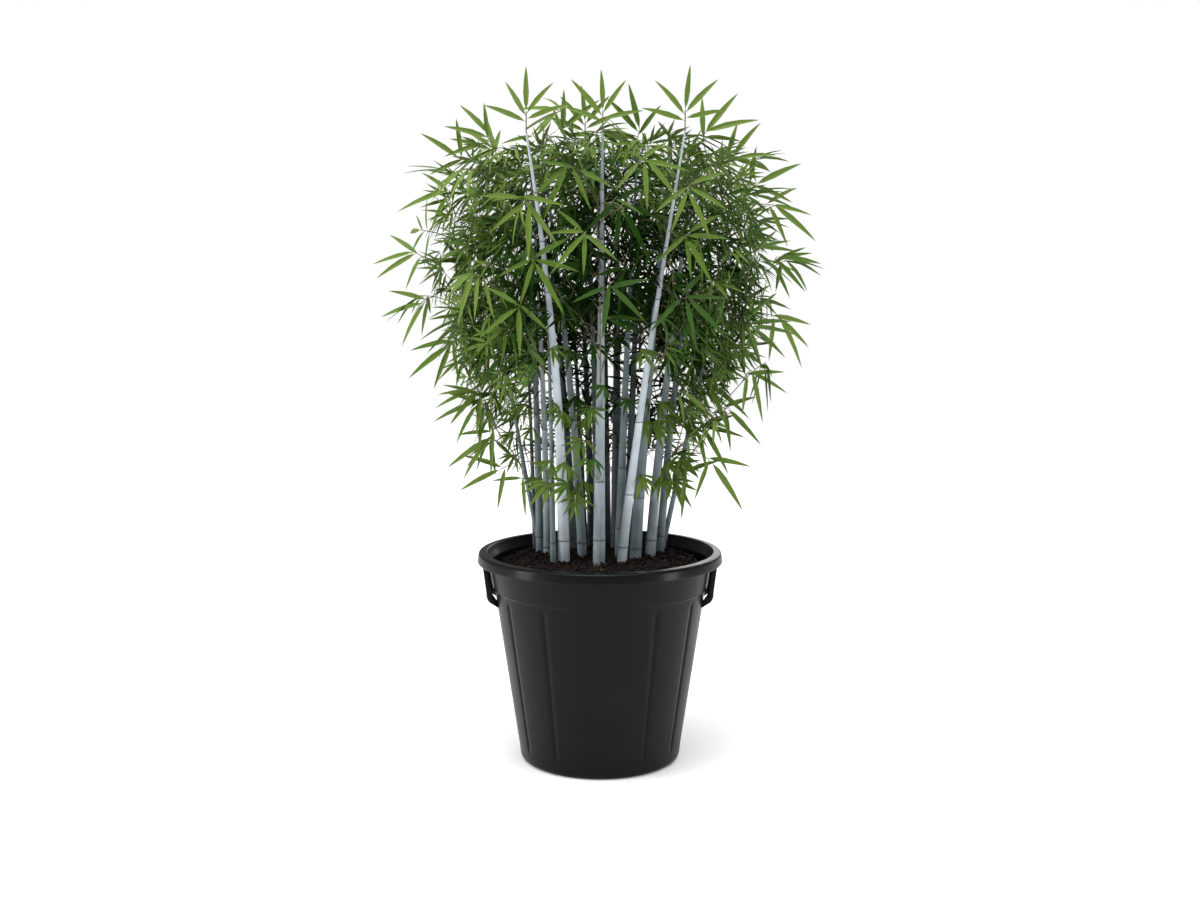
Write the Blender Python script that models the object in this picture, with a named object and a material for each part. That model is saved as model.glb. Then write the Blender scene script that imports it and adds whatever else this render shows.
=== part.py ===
"""Potted bamboo: a clump of waxy blue-grey culms with a domed crown, growing in a black moulded tub.

Units are metres and +Z is up. The origin is the centre of the tub's flat underside.
The tub, its rim, its two grips and the compost come first, then the culms, then the masses of foliage.
Each mass is one stem that leaves a culm, twigs that branch from it by a seeded rule, and fans of leaves,
joined into one solid. A twig or leaf that would leave the crown or touch a neighbour isn't grown.
"""

import math
import random

import bmesh
import bpy
from mathutils import Matrix, Vector
from mathutils.bvhtree import BVHTree

# ---- fit between neighbouring solids ----
SEAT_GAP = 0.0003
SOIL_GAP = 0.0004

# ---- tub ----
TUB_HEIGHT = 0.432
TUB_SIDES = 36
FOOT_RADIUS = 0.163
FOOT_ROUNDING = 0.014
WALL_DRAFT = 0.149
WALL = 0.004
BAND_BOTTOM = 0.357
BAND_STEP = 0.0033
BAND_TOP = 0.410
RIM_BOTTOM = BAND_TOP + SEAT_GAP
RIM_RADIUS = 0.2505
RIM_EASE = 0.003
MOUTH_RADIUS = 0.2315

# ---- grooves pressed into the tub's wall ----
GROOVE_ANGLES = (32, 59, 121, 148, 212, 239, 301, 328)
GROOVE_RADIUS = 0.0026
GROOVE_BOTTOM = 0.030
GROOVE_TOP = 0.346

# ---- grips: two arms and a bar, moulded under the rim on each side ----
GRIP_HALF_ANGLE = math.radians(12.5)
GRIP_ARM_ANGLE = math.radians(3.0)
GRIP_TOP_OUTER = 0.2415
GRIP_BAR_OUTER = 0.2345
GRIP_BAR_BOTTOM = 0.337
GRIP_BAR_TOP = 0.349
GRIP_ROOT_BOTTOM = 0.3195
GRIP_ROOT_TOP = 0.334
GRIP_THICKNESS = 0.0090

# ---- compost, mounded round the clump ----
SOIL_EDGE = 0.392
SOIL_LEVEL = 0.415
SOIL_PLATEAU = 0.160

# ---- culms ----
THICK_CULM = 0.0200
THICK_SIDES = 8
SLIM_SIDES = 6
CULM_TIP_SHARE = 0.17
NODE_SWELL = 1.10
NODE_HEIGHT = 0.005
FIRST_INTERNODE = 0.090
LONGEST_INTERNODE = 0.165
TOP_INTERNODE = 0.090

# name: base x, base y, base diameter, tip x, tip y, tip z, bend across, bend in depth
# A bend of 1 is a straight lean, and a larger one leaves the curve to the top.
CULMS = {
    "culm_front_left": (-0.073, -0.048, 0.0245, -0.136, -0.190, 1.250, 2.0, 1.2),
    "culm_front_centre": (-0.002, -0.066, 0.0250, 0.005, -0.195, 1.250, 1.0, 1.2),
    "culm_front_right": (0.044, -0.048, 0.0200, 0.157, -0.190, 1.252, 1.15, 1.2),
    "culm_slim_left": (-0.094, -0.060, 0.0121, -0.106, -0.060, 1.080, 1.4, 1.6),
    "culm_inner_left": (-0.037, 0.015, 0.0198, -0.115, 0.000, 1.240, 1.4, 1.4),
    "culm_left": (-0.126, 0.062, 0.0176, -0.154, 0.120, 1.190, 1.6, 1.4),
    "culm_left_pale": (-0.110, 0.040, 0.0154, -0.136, -0.040, 1.200, 1.8, 1.4),
    "culm_left_thin": (-0.138, 0.100, 0.0102, -0.164, 0.150, 1.100, 1.2, 1.4),
    "culm_far_left": (-0.125, 0.086, 0.0110, -0.238, 0.060, 1.080, 0.9, 1.4),
    "culm_inner_right": (0.072, -0.016, 0.0250, 0.140, 0.000, 1.230, 1.2, 1.4),
    "culm_right": (0.104, 0.026, 0.0224, 0.184, -0.020, 1.200, 1.2, 1.4),
    "culm_right_grey": (0.125, 0.047, 0.0184, 0.202, 0.060, 1.140, 1.3, 1.4),
    "culm_far_right": (0.131, 0.082, 0.0123, 0.265, 0.060, 1.050, 1.0, 1.4),
    "culm_centre": (-0.004, 0.042, 0.0185, -0.030, 0.060, 1.260, 1.5, 1.4),
    "culm_second_right": (0.040, 0.010, 0.0198, 0.073, -0.030, 1.220, 1.3, 1.4),
    "culm_inner_dark": (0.058, 0.060, 0.0193, 0.088, 0.100, 1.200, 1.3, 1.4),
    "culm_back_centre": (0.034, 0.092, 0.0237, 0.038, 0.150, 1.230, 1.4, 1.4),
    "culm_back_middle": (0.015, 0.150, 0.0190, 0.007, 0.230, 1.150, 1.3, 1.4),
    "culm_back_right": (0.079, 0.110, 0.0179, 0.149, 0.205, 1.170, 1.4, 1.4),
    "culm_back_left": (-0.058, 0.088, 0.0195, -0.122, 0.205, 1.180, 1.5, 1.4),
    "culm_back": (-0.017, 0.118, 0.0197, -0.047, 0.240, 1.120, 1.3, 1.4),
    "culm_back_slim_left": (-0.034, 0.130, 0.0155, -0.066, 0.280, 1.020, 1.3, 1.4),
    "culm_back_slim_right": (0.055, 0.128, 0.0120, 0.150, 0.280, 1.020, 1.3, 1.4),
}
FRONT_CULMS = ("culm_front_left", "culm_front_centre", "culm_front_right")

# ---- crown: its reach by height, and what it leaves open ----
CROWN_MIDDLE = 1.00
CROWN_TOP = 1.375
CROWN_FOOT = 0.49
CROWN_RADIUS = 0.458
CROWN_FRONT_DEPTH = 0.64
CROWN_BACK_DEPTH = 0.90
OPEN_LEVEL = 0.88
OPEN_HALF_WIDTH = 0.100
OPEN_SLOPE = 0.35
OPEN_WIDEST = 0.170
OPEN_RADIUS = 0.185

# tier: height, distance from the axis, azimuths in degrees from +X towards +Y, drop to the stem's foot
TIERS = {
    "low": (0.72, 0.285, (-25, 20, 155, 205), 0.13),
    "mid": (0.94, 0.300, (-90, -52, -18, 18, 52, 90, 128, 162, 198, 232), 0.16),
    "high": (1.15, 0.250, (-90, -40, 5, 48, 90, 132, 175, 220), 0.15),
}
# sprig: culm it grows on, height on the culm, and the middle of its few leaves
SPRIGS = {
    "sprig_left": ("culm_inner_left", 0.560, (-0.048, -0.090, 0.545)),
    "sprig_centre": ("culm_front_centre", 0.655, (-0.040, -0.118, 0.668)),
    "sprig_right": ("culm_inner_right", 0.580, (0.082, -0.070, 0.590)),
    "sprig_far_right": ("culm_right", 0.615, (0.168, -0.020, 0.625)),
}
TIP_CULMS = (*FRONT_CULMS, "culm_centre", "culm_back_left", "culm_back_right")

# ---- twigs and leaves ----
SEED = 11
STEM_RADIUS = 0.0036
TWIG_RADIUS = 0.0026
TWIG_TIP = 0.0022
SPRAY_SPACING = 0.103
SKIN_MARGIN = 0.060
SKIN_FANS = 0.5
FRONT_CLEAR = 0.013
FAN_LEAVES = 5
FAN_SPREAD = math.radians(72)
LEAF_SPACING = 0.0065
LEAF_LENGTH = 0.148
TIP_LEAF_LENGTH = 0.078
SPRIG_LEAF_LENGTH = 0.070
LEAF_WIDTH = 0.031
LEAF_THICKNESS = 0.0026
LEAF_ARCH = 0.035
LEAF_DROOP = 0.16
LEAF_SIZES = (1.12, 1.0, 0.86, 0.72)
CLEARANCE = 0.0005


# ---------------------------------------------------------------- scene and materials


def clear_scene():
    for obj in list(bpy.data.objects):
        bpy.data.objects.remove(obj)


def material(name, colour, roughness):
    made = bpy.data.materials.new(name)
    made.use_nodes = True
    shader = made.node_tree.nodes["Principled BSDF"]
    shader.inputs["Base Color"].default_value = (*colour, 1.0)
    shader.inputs["Roughness"].default_value = roughness
    shader.inputs["Metallic"].default_value = 0.0
    made.diffuse_color = (*colour, 1.0)
    return made


def add_object(name, shape, finish):
    """An object in the scene from (points, faces)."""
    points, faces = shape
    mesh = bpy.data.meshes.new(name)
    mesh.from_pydata([tuple(p) for p in points], [], faces)
    mesh.materials.append(finish)
    obj = bpy.data.objects.new(name, mesh)
    bpy.context.scene.collection.objects.link(obj)
    return obj


def smooth(obj, degrees):
    obj.data.shade_smooth()
    obj.data.set_sharp_from_angle(angle=math.radians(degrees))


def hide_helper(obj):
    obj.hide_render = True
    obj.display_type = "WIRE"


# ---------------------------------------------------------------- shapes


def finish_mesh(name, mesh, finish):
    """Welds and orients a bmesh, and puts it in the scene as an object."""
    bmesh.ops.remove_doubles(mesh, verts=mesh.verts, dist=0.000001)
    bmesh.ops.recalc_face_normals(mesh, faces=mesh.faces)
    obj = add_object(name, ((), ()), finish)
    mesh.to_mesh(obj.data)
    mesh.free()
    return obj


def turned(name, profile, sides, finish):
    """A solid of revolution about Z from (radius, height) points: a line from axis to axis, or a loop."""
    mesh = bmesh.new()
    points = [mesh.verts.new((radius, 0, height)) for radius, height in profile]
    edges = [mesh.edges.new(pair) for pair in zip(points, points[1:])]
    if profile[0][0] > 0:
        edges.append(mesh.edges.new((points[-1], points[0])))
    bmesh.ops.spin(
        mesh, geom=points + edges, axis=(0, 0, 1), angle=2 * math.pi, steps=sides, use_merge=True
    )
    return finish_mesh(name, mesh, finish)


def swept(name, outline, start, end, steps, finish):
    """A solid made by turning a closed (radius, height) outline about Z from one angle to another."""
    mesh = bmesh.new()
    along = (math.cos(start), math.sin(start))
    face = mesh.faces.new([mesh.verts.new((r * along[0], r * along[1], h)) for r, h in outline])
    geometry = list(face.verts) + list(face.edges) + [face]
    bmesh.ops.spin(mesh, geom=geometry, axis=(0, 0, 1), angle=end - start, steps=steps)
    return finish_mesh(name, mesh, finish)


def arc(centre, radius, start, end, steps):
    """(radius, height) points on an arc in a profile, angles in degrees."""
    found = []
    for k in range(steps + 1):
        angle = math.radians(start + (end - start) * k / steps)
        found.append((centre[0] + radius * math.cos(angle), centre[1] + radius * math.sin(angle)))
    return found


def tube(path, radii, sides, level_ends=False):
    """A closed tube through the path's points. Level ends lie flat, as a culm's cut does."""
    points = []
    across = (path[1] - path[0]).orthogonal().normalized()
    if level_ends:
        across = Vector((1, 0, 0))
    for i, here in enumerate(path):
        before = path[max(i - 1, 0)]
        after = path[min(i + 1, len(path) - 1)]
        along = (after - before).normalized()
        if level_ends:
            along = Vector((0, 0, 1))
        across = (across - along * across.dot(along)).normalized()
        other = along.cross(across)
        for k in range(sides):
            angle = 2 * math.pi * k / sides
            points.append(here + (across * math.cos(angle) + other * math.sin(angle)) * radii[i])
    faces = [tuple(reversed(range(sides)))]
    for i in range(len(path) - 1):
        for k in range(sides):
            after = (k + 1) % sides
            a, b = i * sides, (i + 1) * sides
            faces.append((a + k, a + after, b + after, b + k))
    faces.append(tuple(range((len(path) - 1) * sides, len(path) * sides)))
    return points, faces


def leaf_shape(root, direction, normal, length, grow=0.0):
    """A leaf blade of 8 faces: a point at each end, a ridge and a keel, and two points at its widest."""
    side = direction.cross(normal).normalized()
    lift = side.cross(direction).normalized()
    half = LEAF_WIDTH * length / LEAF_LENGTH / 2 + grow
    thick = LEAF_THICKNESS / 2 + grow
    arch = lift * (LEAF_ARCH * length)
    widest = root + direction * (0.40 * length) + arch
    ridge = root + direction * (0.30 * length) + arch
    points = [
        root - direction * grow,
        widest + side * half,
        ridge + lift * thick,
        widest - side * half,
        ridge - lift * thick,
        root + direction * (length + grow),
    ]
    faces = []
    for k in range(4):
        after = (k + 1) % 4
        faces.append((0, 1 + k, 1 + after))
        faces.append((5, 1 + after, 1 + k))
    return points, faces


# ---------------------------------------------------------------- tub


def wall_radius(height):
    return FOOT_RADIUS + WALL_DRAFT * height


def band_radius(height):
    return wall_radius(BAND_BOTTOM) + BAND_STEP + WALL_DRAFT * (height - BAND_BOTTOM)


def inner_radius(height):
    return wall_radius(height) - WALL


def throat_radius():
    """The inside of the wall where the rim begins, a little wider than the wall's own taper makes it."""
    return inner_radius(BAND_TOP) + WALL / 2


def tub_profile():
    """The tub's section, from the middle of its underside, up the outside to the rim and down inside."""
    foot = FOOT_RADIUS - FOOT_ROUNDING
    outside = [(0, 0)] + arc((foot, FOOT_ROUNDING), FOOT_ROUNDING, -90, -8, 3)
    outside += [
        (wall_radius(BAND_BOTTOM - BAND_STEP), BAND_BOTTOM - BAND_STEP),
        (band_radius(BAND_BOTTOM), BAND_BOTTOM),
        (band_radius(BAND_TOP), BAND_TOP),
    ]
    inside = [
        (throat_radius(), BAND_TOP),
        (inner_radius(BAND_BOTTOM), BAND_BOTTOM),
        (inner_radius(FOOT_ROUNDING), FOOT_ROUNDING),
        (foot, WALL),
        (0, WALL),
    ]
    return outside + inside


def rim_outline():
    """The rolled rim's section, a loop that stands out past the band and rounds over into the mouth."""
    return [
        (throat_radius(), RIM_BOTTOM),
        (RIM_RADIUS - RIM_EASE, RIM_BOTTOM),
        (RIM_RADIUS, RIM_BOTTOM + RIM_EASE),
        (RIM_RADIUS, TUB_HEIGHT - 2 * RIM_EASE),
        (RIM_RADIUS - RIM_EASE, TUB_HEIGHT - RIM_EASE),
        (MOUTH_RADIUS + RIM_EASE, TUB_HEIGHT),
        (MOUTH_RADIUS, TUB_HEIGHT - RIM_EASE / 2),
    ]


def groove_cutter(angle, finish):
    """A square rod on edge that lies along the wall's surface."""
    out = Vector((math.cos(angle), math.sin(angle), 0))
    path = []
    for height in (GROOVE_BOTTOM, GROOVE_TOP):
        path.append(out * wall_radius(height) + Vector((0, 0, height)))
    name = f"groove_cutter_{round(math.degrees(angle))}"
    cutter = add_object(name, tube(path, [GROOVE_RADIUS] * 2, 4), finish)
    hide_helper(cutter)
    return cutter


def build_tub(finish):
    tub = turned("tub", tub_profile(), TUB_SIDES, finish)
    cutters = bpy.data.collections.new("groove_cutters")
    bpy.context.scene.collection.children.link(cutters)
    for degrees in GROOVE_ANGLES:
        cutter = groove_cutter(math.radians(degrees), finish)
        bpy.context.scene.collection.objects.unlink(cutter)
        cutters.objects.link(cutter)
    grooves = tub.modifiers.new("grooves", "BOOLEAN")
    grooves.operation = "DIFFERENCE"
    grooves.operand_type = "COLLECTION"
    grooves.collection = cutters
    grooves.solver = "EXACT"
    smooth(tub, 25)


def build_rim(finish):
    """The rim is a solid of its own, so that the room under it for the grips stays open."""
    rim = turned("rim", rim_outline(), TUB_SIDES, finish)
    smooth(rim, 25)


def arm_outline():
    """A grip's arm in section: down from the rim, then back to the wall at its root."""
    return [
        (GRIP_TOP_OUTER - GRIP_THICKNESS, BAND_TOP),
        (GRIP_BAR_OUTER - GRIP_THICKNESS, GRIP_BAR_TOP),
        (wall_radius(GRIP_ROOT_TOP) + SEAT_GAP, GRIP_ROOT_TOP),
        (wall_radius(GRIP_ROOT_BOTTOM) + SEAT_GAP, GRIP_ROOT_BOTTOM),
        (GRIP_BAR_OUTER - WALL, GRIP_BAR_BOTTOM - WALL),
        (GRIP_BAR_OUTER, GRIP_BAR_BOTTOM + WALL),
        (GRIP_TOP_OUTER, BAND_TOP),
    ]


def bar_outline():
    """The grip's bar in section, a rounded oblong."""
    inner = GRIP_BAR_OUTER - GRIP_THICKNESS + 0.0015
    outer = GRIP_BAR_OUTER - 0.0008
    ease = 0.003
    return [
        (inner, GRIP_BAR_BOTTOM + ease),
        (inner + ease, GRIP_BAR_BOTTOM),
        (outer - ease, GRIP_BAR_BOTTOM),
        (outer, GRIP_BAR_BOTTOM + ease),
        (outer, GRIP_BAR_TOP - ease),
        (outer - ease, GRIP_BAR_TOP),
        (inner + ease, GRIP_BAR_TOP),
        (inner, GRIP_BAR_TOP - ease),
    ]


def build_grip(name, middle, finish):
    """Two arms joined by a bar, round the tub's side at the given azimuth."""
    inner_edge = GRIP_HALF_ANGLE - GRIP_ARM_ANGLE
    overlap = GRIP_ARM_ANGLE / 2
    bar_reach = inner_edge + overlap
    grip = swept(name, bar_outline(), middle - bar_reach, middle + bar_reach, 8, finish)
    arms = []
    for side in (-1, 1):
        start = middle + side * inner_edge
        end = middle + side * GRIP_HALF_ANGLE
        arms.append(swept(f"{name}_arm", arm_outline(), start, end, 1, finish))
    fuse(grip, arms)
    smooth(grip, 30)
    return grip


def fuse(base, others, solver="EXACT"):
    """Joins the other solids to the base with one Boolean union, applies it and removes them.

    A mass of foliage takes the MANIFOLD solver: EXACT drops leaves where many thin roots meet.
    """
    if not others:
        return
    group = bpy.data.collections.new(f"{base.name}_union")
    bpy.context.scene.collection.children.link(group)
    for obj in others:
        bpy.context.scene.collection.objects.unlink(obj)
        group.objects.link(obj)
    union = base.modifiers.new("union", "BOOLEAN")
    union.operation = "UNION"
    union.operand_type = "COLLECTION"
    union.collection = group
    union.solver = solver
    bpy.context.view_layer.update()
    graph = bpy.context.evaluated_depsgraph_get()
    joined = bpy.data.meshes.new_from_object(base.evaluated_get(graph))
    base.modifiers.remove(union)
    base.data = joined
    for obj in others:
        bpy.data.objects.remove(obj)
    bpy.data.collections.remove(group)


def keep_main_body(obj):
    """Drops loose scraps and fills sealed hollows: only the largest shell of the mesh stays."""
    mesh = bmesh.new()
    mesh.from_mesh(obj.data)
    left = set(mesh.verts)
    shells = []
    while left:
        shell = set()
        reached = [left.pop()]
        while reached:
            vert = reached.pop()
            shell.add(vert)
            near = {edge.other_vert(vert) for edge in vert.link_edges} & left
            left -= near
            reached.extend(near)
        shells.append(shell)
    main = max(shells, key=len)
    bmesh.ops.delete(mesh, geom=[v for v in mesh.verts if v not in main], context="VERTS")
    mesh.to_mesh(obj.data)
    mesh.free()


def build_soil(finish):
    """Compost that fills the tub and is mounded level round the culms."""
    foot = FOOT_RADIUS - FOOT_ROUNDING
    profile = [
        (0, WALL + SOIL_GAP),
        (foot - SOIL_GAP, WALL + SOIL_GAP),
        (inner_radius(FOOT_ROUNDING) - SOIL_GAP, FOOT_ROUNDING + SOIL_GAP),
        (inner_radius(BAND_BOTTOM) - SOIL_GAP, BAND_BOTTOM),
        (inner_radius(SOIL_EDGE) - SOIL_GAP, SOIL_EDGE),
        ((SOIL_PLATEAU + inner_radius(SOIL_EDGE)) / 2, (SOIL_EDGE + 2 * SOIL_LEVEL) / 3),
        (SOIL_PLATEAU, SOIL_LEVEL),
        (0, SOIL_LEVEL),
    ]
    soil = turned("compost", profile, TUB_SIDES, finish)
    smooth(soil, 40)
    return soil


# ---------------------------------------------------------------- culms


class Culm:
    """A culm's centreline and taper, from its base on the compost to its tip."""

    def __init__(self, name, base_x, base_y, diameter, tip_x, tip_y, tip_z, bend_x, bend_y):
        self.name = name
        self.base = Vector((base_x, base_y, SOIL_LEVEL + SEAT_GAP))
        self.tip = Vector((tip_x, tip_y, tip_z))
        self.radius = diameter / 2
        self.sides = THICK_SIDES if diameter >= THICK_CULM else SLIM_SIDES
        self.bends = (bend_x, bend_y)

    def share(self, height):
        return (height - self.base.z) / (self.tip.z - self.base.z)

    def centre(self, height):
        t = max(self.share(height), 0.0)
        x = self.base.x + (self.tip.x - self.base.x) * t ** self.bends[0]
        y = self.base.y + (self.tip.y - self.base.y) * t ** self.bends[1]
        return Vector((x, y, height))

    def radius_at(self, height):
        return self.radius * (1 - (1 - CULM_TIP_SHARE) * self.share(height))

    def node_heights(self):
        """Heights of the joints: close together at the foot, widest apart below the crown."""
        found = []
        height = self.base.z + FIRST_INTERNODE * (0.15 + 0.5 * (self.base.x * 100 % 1))
        while height < self.tip.z - 0.06:
            found.append(height)
            t = self.share(height)
            low = FIRST_INTERNODE + (LONGEST_INTERNODE - FIRST_INTERNODE) * min(t / 0.15, 1.0)
            high = LONGEST_INTERNODE + (TOP_INTERNODE - LONGEST_INTERNODE) * min(t / 0.7, 1.0)
            height += min(low, high)
        return found


def build_culm(culm, finish):
    heights = [culm.base.z]
    radii = [culm.radius]
    for height in culm.node_heights():
        if culm.sides == THICK_SIDES:
            heights.append(height - NODE_HEIGHT)
            radii.append(culm.radius_at(height))
        heights.append(height)
        radii.append(culm.radius_at(height) * NODE_SWELL)
    heights.append(culm.tip.z)
    radii.append(culm.radius * CULM_TIP_SHARE)
    path = [culm.centre(height) for height in heights]
    obj = add_object(culm.name, tube(path, radii, culm.sides, level_ends=True), finish)
    smooth(obj, 50)
    return obj


# ---------------------------------------------------------------- crown


def crown_reach(height):
    """How far the crown reaches to each side at a height."""
    if height >= CROWN_MIDDLE:
        rise = min((height - CROWN_MIDDLE) / (CROWN_TOP - CROWN_MIDDLE), 1.0)
        return CROWN_RADIUS * math.sqrt(max(1 - rise**2.6, 0.0))
    fall = min((CROWN_MIDDLE - height) / (CROWN_MIDDLE - CROWN_FOOT), 1.0)
    return CROWN_RADIUS * (1 - 0.5 * fall**1.6)


def depth_share(y):
    """The crown is shallower in front, where the tall culms lean out, than behind."""
    return CROWN_FRONT_DEPTH if y < 0 else CROWN_BACK_DEPTH


def from_axis(point):
    """Distance from the axis in the crown's own plan, where its outline is a circle."""
    return math.hypot(point.x, point.y / depth_share(point.y))


def crown_point(distance, angle, height):
    y = distance * math.sin(angle)
    return Vector((distance * math.cos(angle), y * depth_share(y), height))


def in_open_zone(point):
    """Below the crown the culms stand clear, seen from the front and from behind."""
    below = OPEN_LEVEL - point.z
    if below < 0:
        return False
    half_width = min(OPEN_HALF_WIDTH + OPEN_SLOPE * below, OPEN_WIDEST)
    return abs(point.x) < half_width or from_axis(point) < OPEN_RADIUS


def inside_crown(point, margin=0.0):
    if not CROWN_FOOT + margin < point.z < CROWN_TOP - margin:
        return False
    return from_axis(point) < crown_reach(point.z) - margin and not in_open_zone(point)


class Mass:
    """One mass of foliage: where its middle is, and how far below it the stem leaves a culm."""

    def __init__(self, name, middle, start_height, culm=None, kind="mass"):
        self.name = name
        self.middle = middle
        self.start_height = start_height
        self.culm = culm
        self.kind = kind
        self.stem = None


def plan_masses(culms):
    masses = []
    for name in TIP_CULMS:
        tip = culms[name].tip
        middle = tip + Vector((0, 0, 0.03))
        masses.append(Mass(f"foliage_top_{name[5:]}", middle, tip.z, culms[name], "top"))
    for name, (culm, height, middle) in SPRIGS.items():
        masses.append(Mass(f"foliage_{name}", Vector(middle), height, culms[culm], "sprig"))
    for tier, (height, distance, azimuths, drop) in TIERS.items():
        for number, degrees in enumerate(azimuths, start=1):
            middle = crown_point(distance, math.radians(degrees), height)
            masses.append(Mass(f"foliage_{tier}_{number}", middle, height - drop))
    return masses


def spray_points(rng):
    """Seeded points spread evenly through the crown, wider apart deep inside it."""
    found = []
    for _ in range(40000):
        height = rng.uniform(CROWN_FOOT, CROWN_TOP)
        reach = crown_reach(height)
        distance = reach * math.sqrt(rng.random())
        point = crown_point(distance, rng.uniform(0, 2 * math.pi), height)
        if not inside_crown(point, SKIN_MARGIN):
            continue
        behind = 0.08 if point.y > 0 else 0.0
        depth = min(reach - distance, (CROWN_TOP - height) * 1.2) + behind
        spacing = SPRAY_SPACING * (1.0 + 1.4 * max(depth - 0.24, 0.0) / 0.25)
        if all((point - other).length > spacing for other in found):
            found.append(point)
    return found


def curve_points(start, bend, end, steps):
    """Points of a quadratic curve."""
    found = []
    for k in range(steps + 1):
        t = k / steps
        found.append(start * (1 - t) ** 2 + bend * (2 * t * (1 - t)) + end * t**2)
    return found


def tree_of(shapes):
    """A BVH tree of several (points, faces) shapes."""
    points, faces = [], []
    for more_points, more_faces in shapes:
        base = len(points)
        points.extend(more_points)
        faces.extend(tuple(i + base for i in face) for face in more_faces)
    return BVHTree.FromPolygons(points, faces)


def taper(start, end, count):
    return [start + (end - start) * i / (count - 1) for i in range(count)]


def stem_path(mass, culm, lean):
    """The stem's line from the culm's surface to the middle of the mass."""
    if mass.kind == "top":
        start = culm.tip + Vector((0, 0, SEAT_GAP))
        return [start, start + Vector((0, 0, 0.006)), start + Vector((0, 0, 0.045))]
    centre = culm.centre(mass.start_height)
    out = mass.middle - centre
    out.z = 0
    out.rotate(Matrix.Rotation(lean, 3, "Z"))
    out.normalize()
    start = centre + out * (culm.radius_at(mass.start_height) * NODE_SWELL + STEM_RADIUS)
    reach = (mass.middle - start).length
    bend = start + out * (0.30 * reach) + Vector((0, 0, 0.45 * reach))
    return curve_points(start, bend, mass.middle, 4)


def seat_stem(path, culm_tree):
    """Slides the stem's cut end towards the culm until it stands SEAT_GAP off it."""
    along = (path[1] - path[0]).normalized()
    for step in range(120):
        start = path[0] + along * (step * 0.0001 - 0.006)
        points, faces = tube([start, path[1]], [STEM_RADIUS] * 2, 3)
        places = [start, *points[:3]]
        places += [(points[0] + points[1]) / 2, (points[1] + points[2]) / 2, (points[2] + points[0]) / 2]
        clear = min(culm_tree.find_nearest(p)[3] for p in places)
        if clear >= SEAT_GAP and not tree_of([(points, faces)]).overlap(culm_tree):
            return [start, *path[1:]]
    return None


def place_stem(mass, culms, culm_trees, stem_trees):
    """Finds the nearest culm and lean that give the mass a stem which touches nothing."""
    able = [mass.culm]
    if not mass.culm:
        able = [c for c in culms.values() if c.tip.z > mass.start_height + 0.08]
        able.sort(key=lambda c: (c.centre(mass.start_height) - mass.middle).length)
    for culm in able[:5]:
        for lean in (0.0, 0.3, -0.3, 0.6, -0.6):
            path = stem_path(mass, culm, lean)
            if mass.kind != "top":
                path = seat_stem(path, culm_trees[culm.name])
            if path is None:
                continue
            radii = taper(STEM_RADIUS, TWIG_RADIUS, len(path))
            wide = tree_of([tube(path, [r + CLEARANCE for r in radii], 3)])
            others = [t for n, t in culm_trees.items() if n != culm.name]
            if any(wide.overlap(other) for other in (*others, *stem_trees.values())):
                continue
            if tree_of([tube(path, radii, 3)]).overlap(culm_trees[culm.name]):
                continue
            mass.culm = culm
            mass.stem = path
            stem_trees[mass.name] = wide
            return


def spray_setting(point, rng):
    """A spray's direction and facing. Skin fans lie along the crown, and the others point out of it."""
    out = Vector((point.x, point.y, 0)).normalized()
    if point.z >= CROWN_MIDDLE:
        rise = (point.z - CROWN_MIDDLE) / (CROWN_TOP - CROWN_MIDDLE)
        elevation = math.radians(-8 + 78 * rise)
    else:
        fall = (CROWN_MIDDLE - point.z) / (CROWN_MIDDLE - CROWN_FOOT)
        elevation = math.radians(-8 - 50 * fall)
    out = out * math.cos(elevation) + Vector((0, 0, math.sin(elevation)))
    around = out.cross(Vector((0, 0, 1))).normalized()
    turn = rng.uniform(-1.9, 1.9)
    tangent = around * math.sin(turn) - around.cross(out).normalized() * math.cos(turn)
    if rng.random() < SKIN_FANS:
        direction = (out * 0.45 + tangent).normalized()
        facing = out
    else:
        direction = (out + tangent * 0.35).normalized()
        facing = around.cross(out) * math.cos(turn * 0.7) + around * math.sin(turn * 0.7)
        if facing.z < 0:
            facing.negate()
    return direction, (facing - direction * facing.dot(direction)).normalized()


def fan_of(path, direction, facing, length, rng):
    """The leaves of one spray, as (root, heading, normal, length), set alternately along the twig's end."""
    along = (path[-1] - path[-2]).normalized()
    level = direction.cross(facing).normalized()
    found = []
    for k in range(FAN_LEAVES):
        place = (k - (FAN_LEAVES - 1) / 2) * 2 / (FAN_LEAVES - 1)
        angle = place * FAN_SPREAD + rng.uniform(-0.1, 0.1)
        heading = direction * math.cos(angle) + level * math.sin(angle)
        heading -= Vector((0, 0, LEAF_DROOP * (0.4 + abs(place)) * rng.uniform(0.5, 1.5)))
        heading.normalize()
        order = 2 * min(k, FAN_LEAVES - 1 - k) + (k * 2 > FAN_LEAVES - 1)
        root = path[-1] - along * (0.001 + LEAF_SPACING * (FAN_LEAVES - 1 - order))
        normal = facing + level * rng.uniform(-0.3, 0.3)
        found.append((root, heading, normal, length * (1 - 0.12 * abs(place)) * rng.uniform(0.9, 1.06)))
    return found


def hides_front_culm(point, culms):
    """The tall culms in front are seen all the way up, so nothing much grows before them."""
    for name in FRONT_CULMS:
        centre = culms[name].centre(point.z)
        if point.y < centre.y and abs(point.x - centre.x) < FRONT_CLEAR:
            return True
    return False


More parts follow.
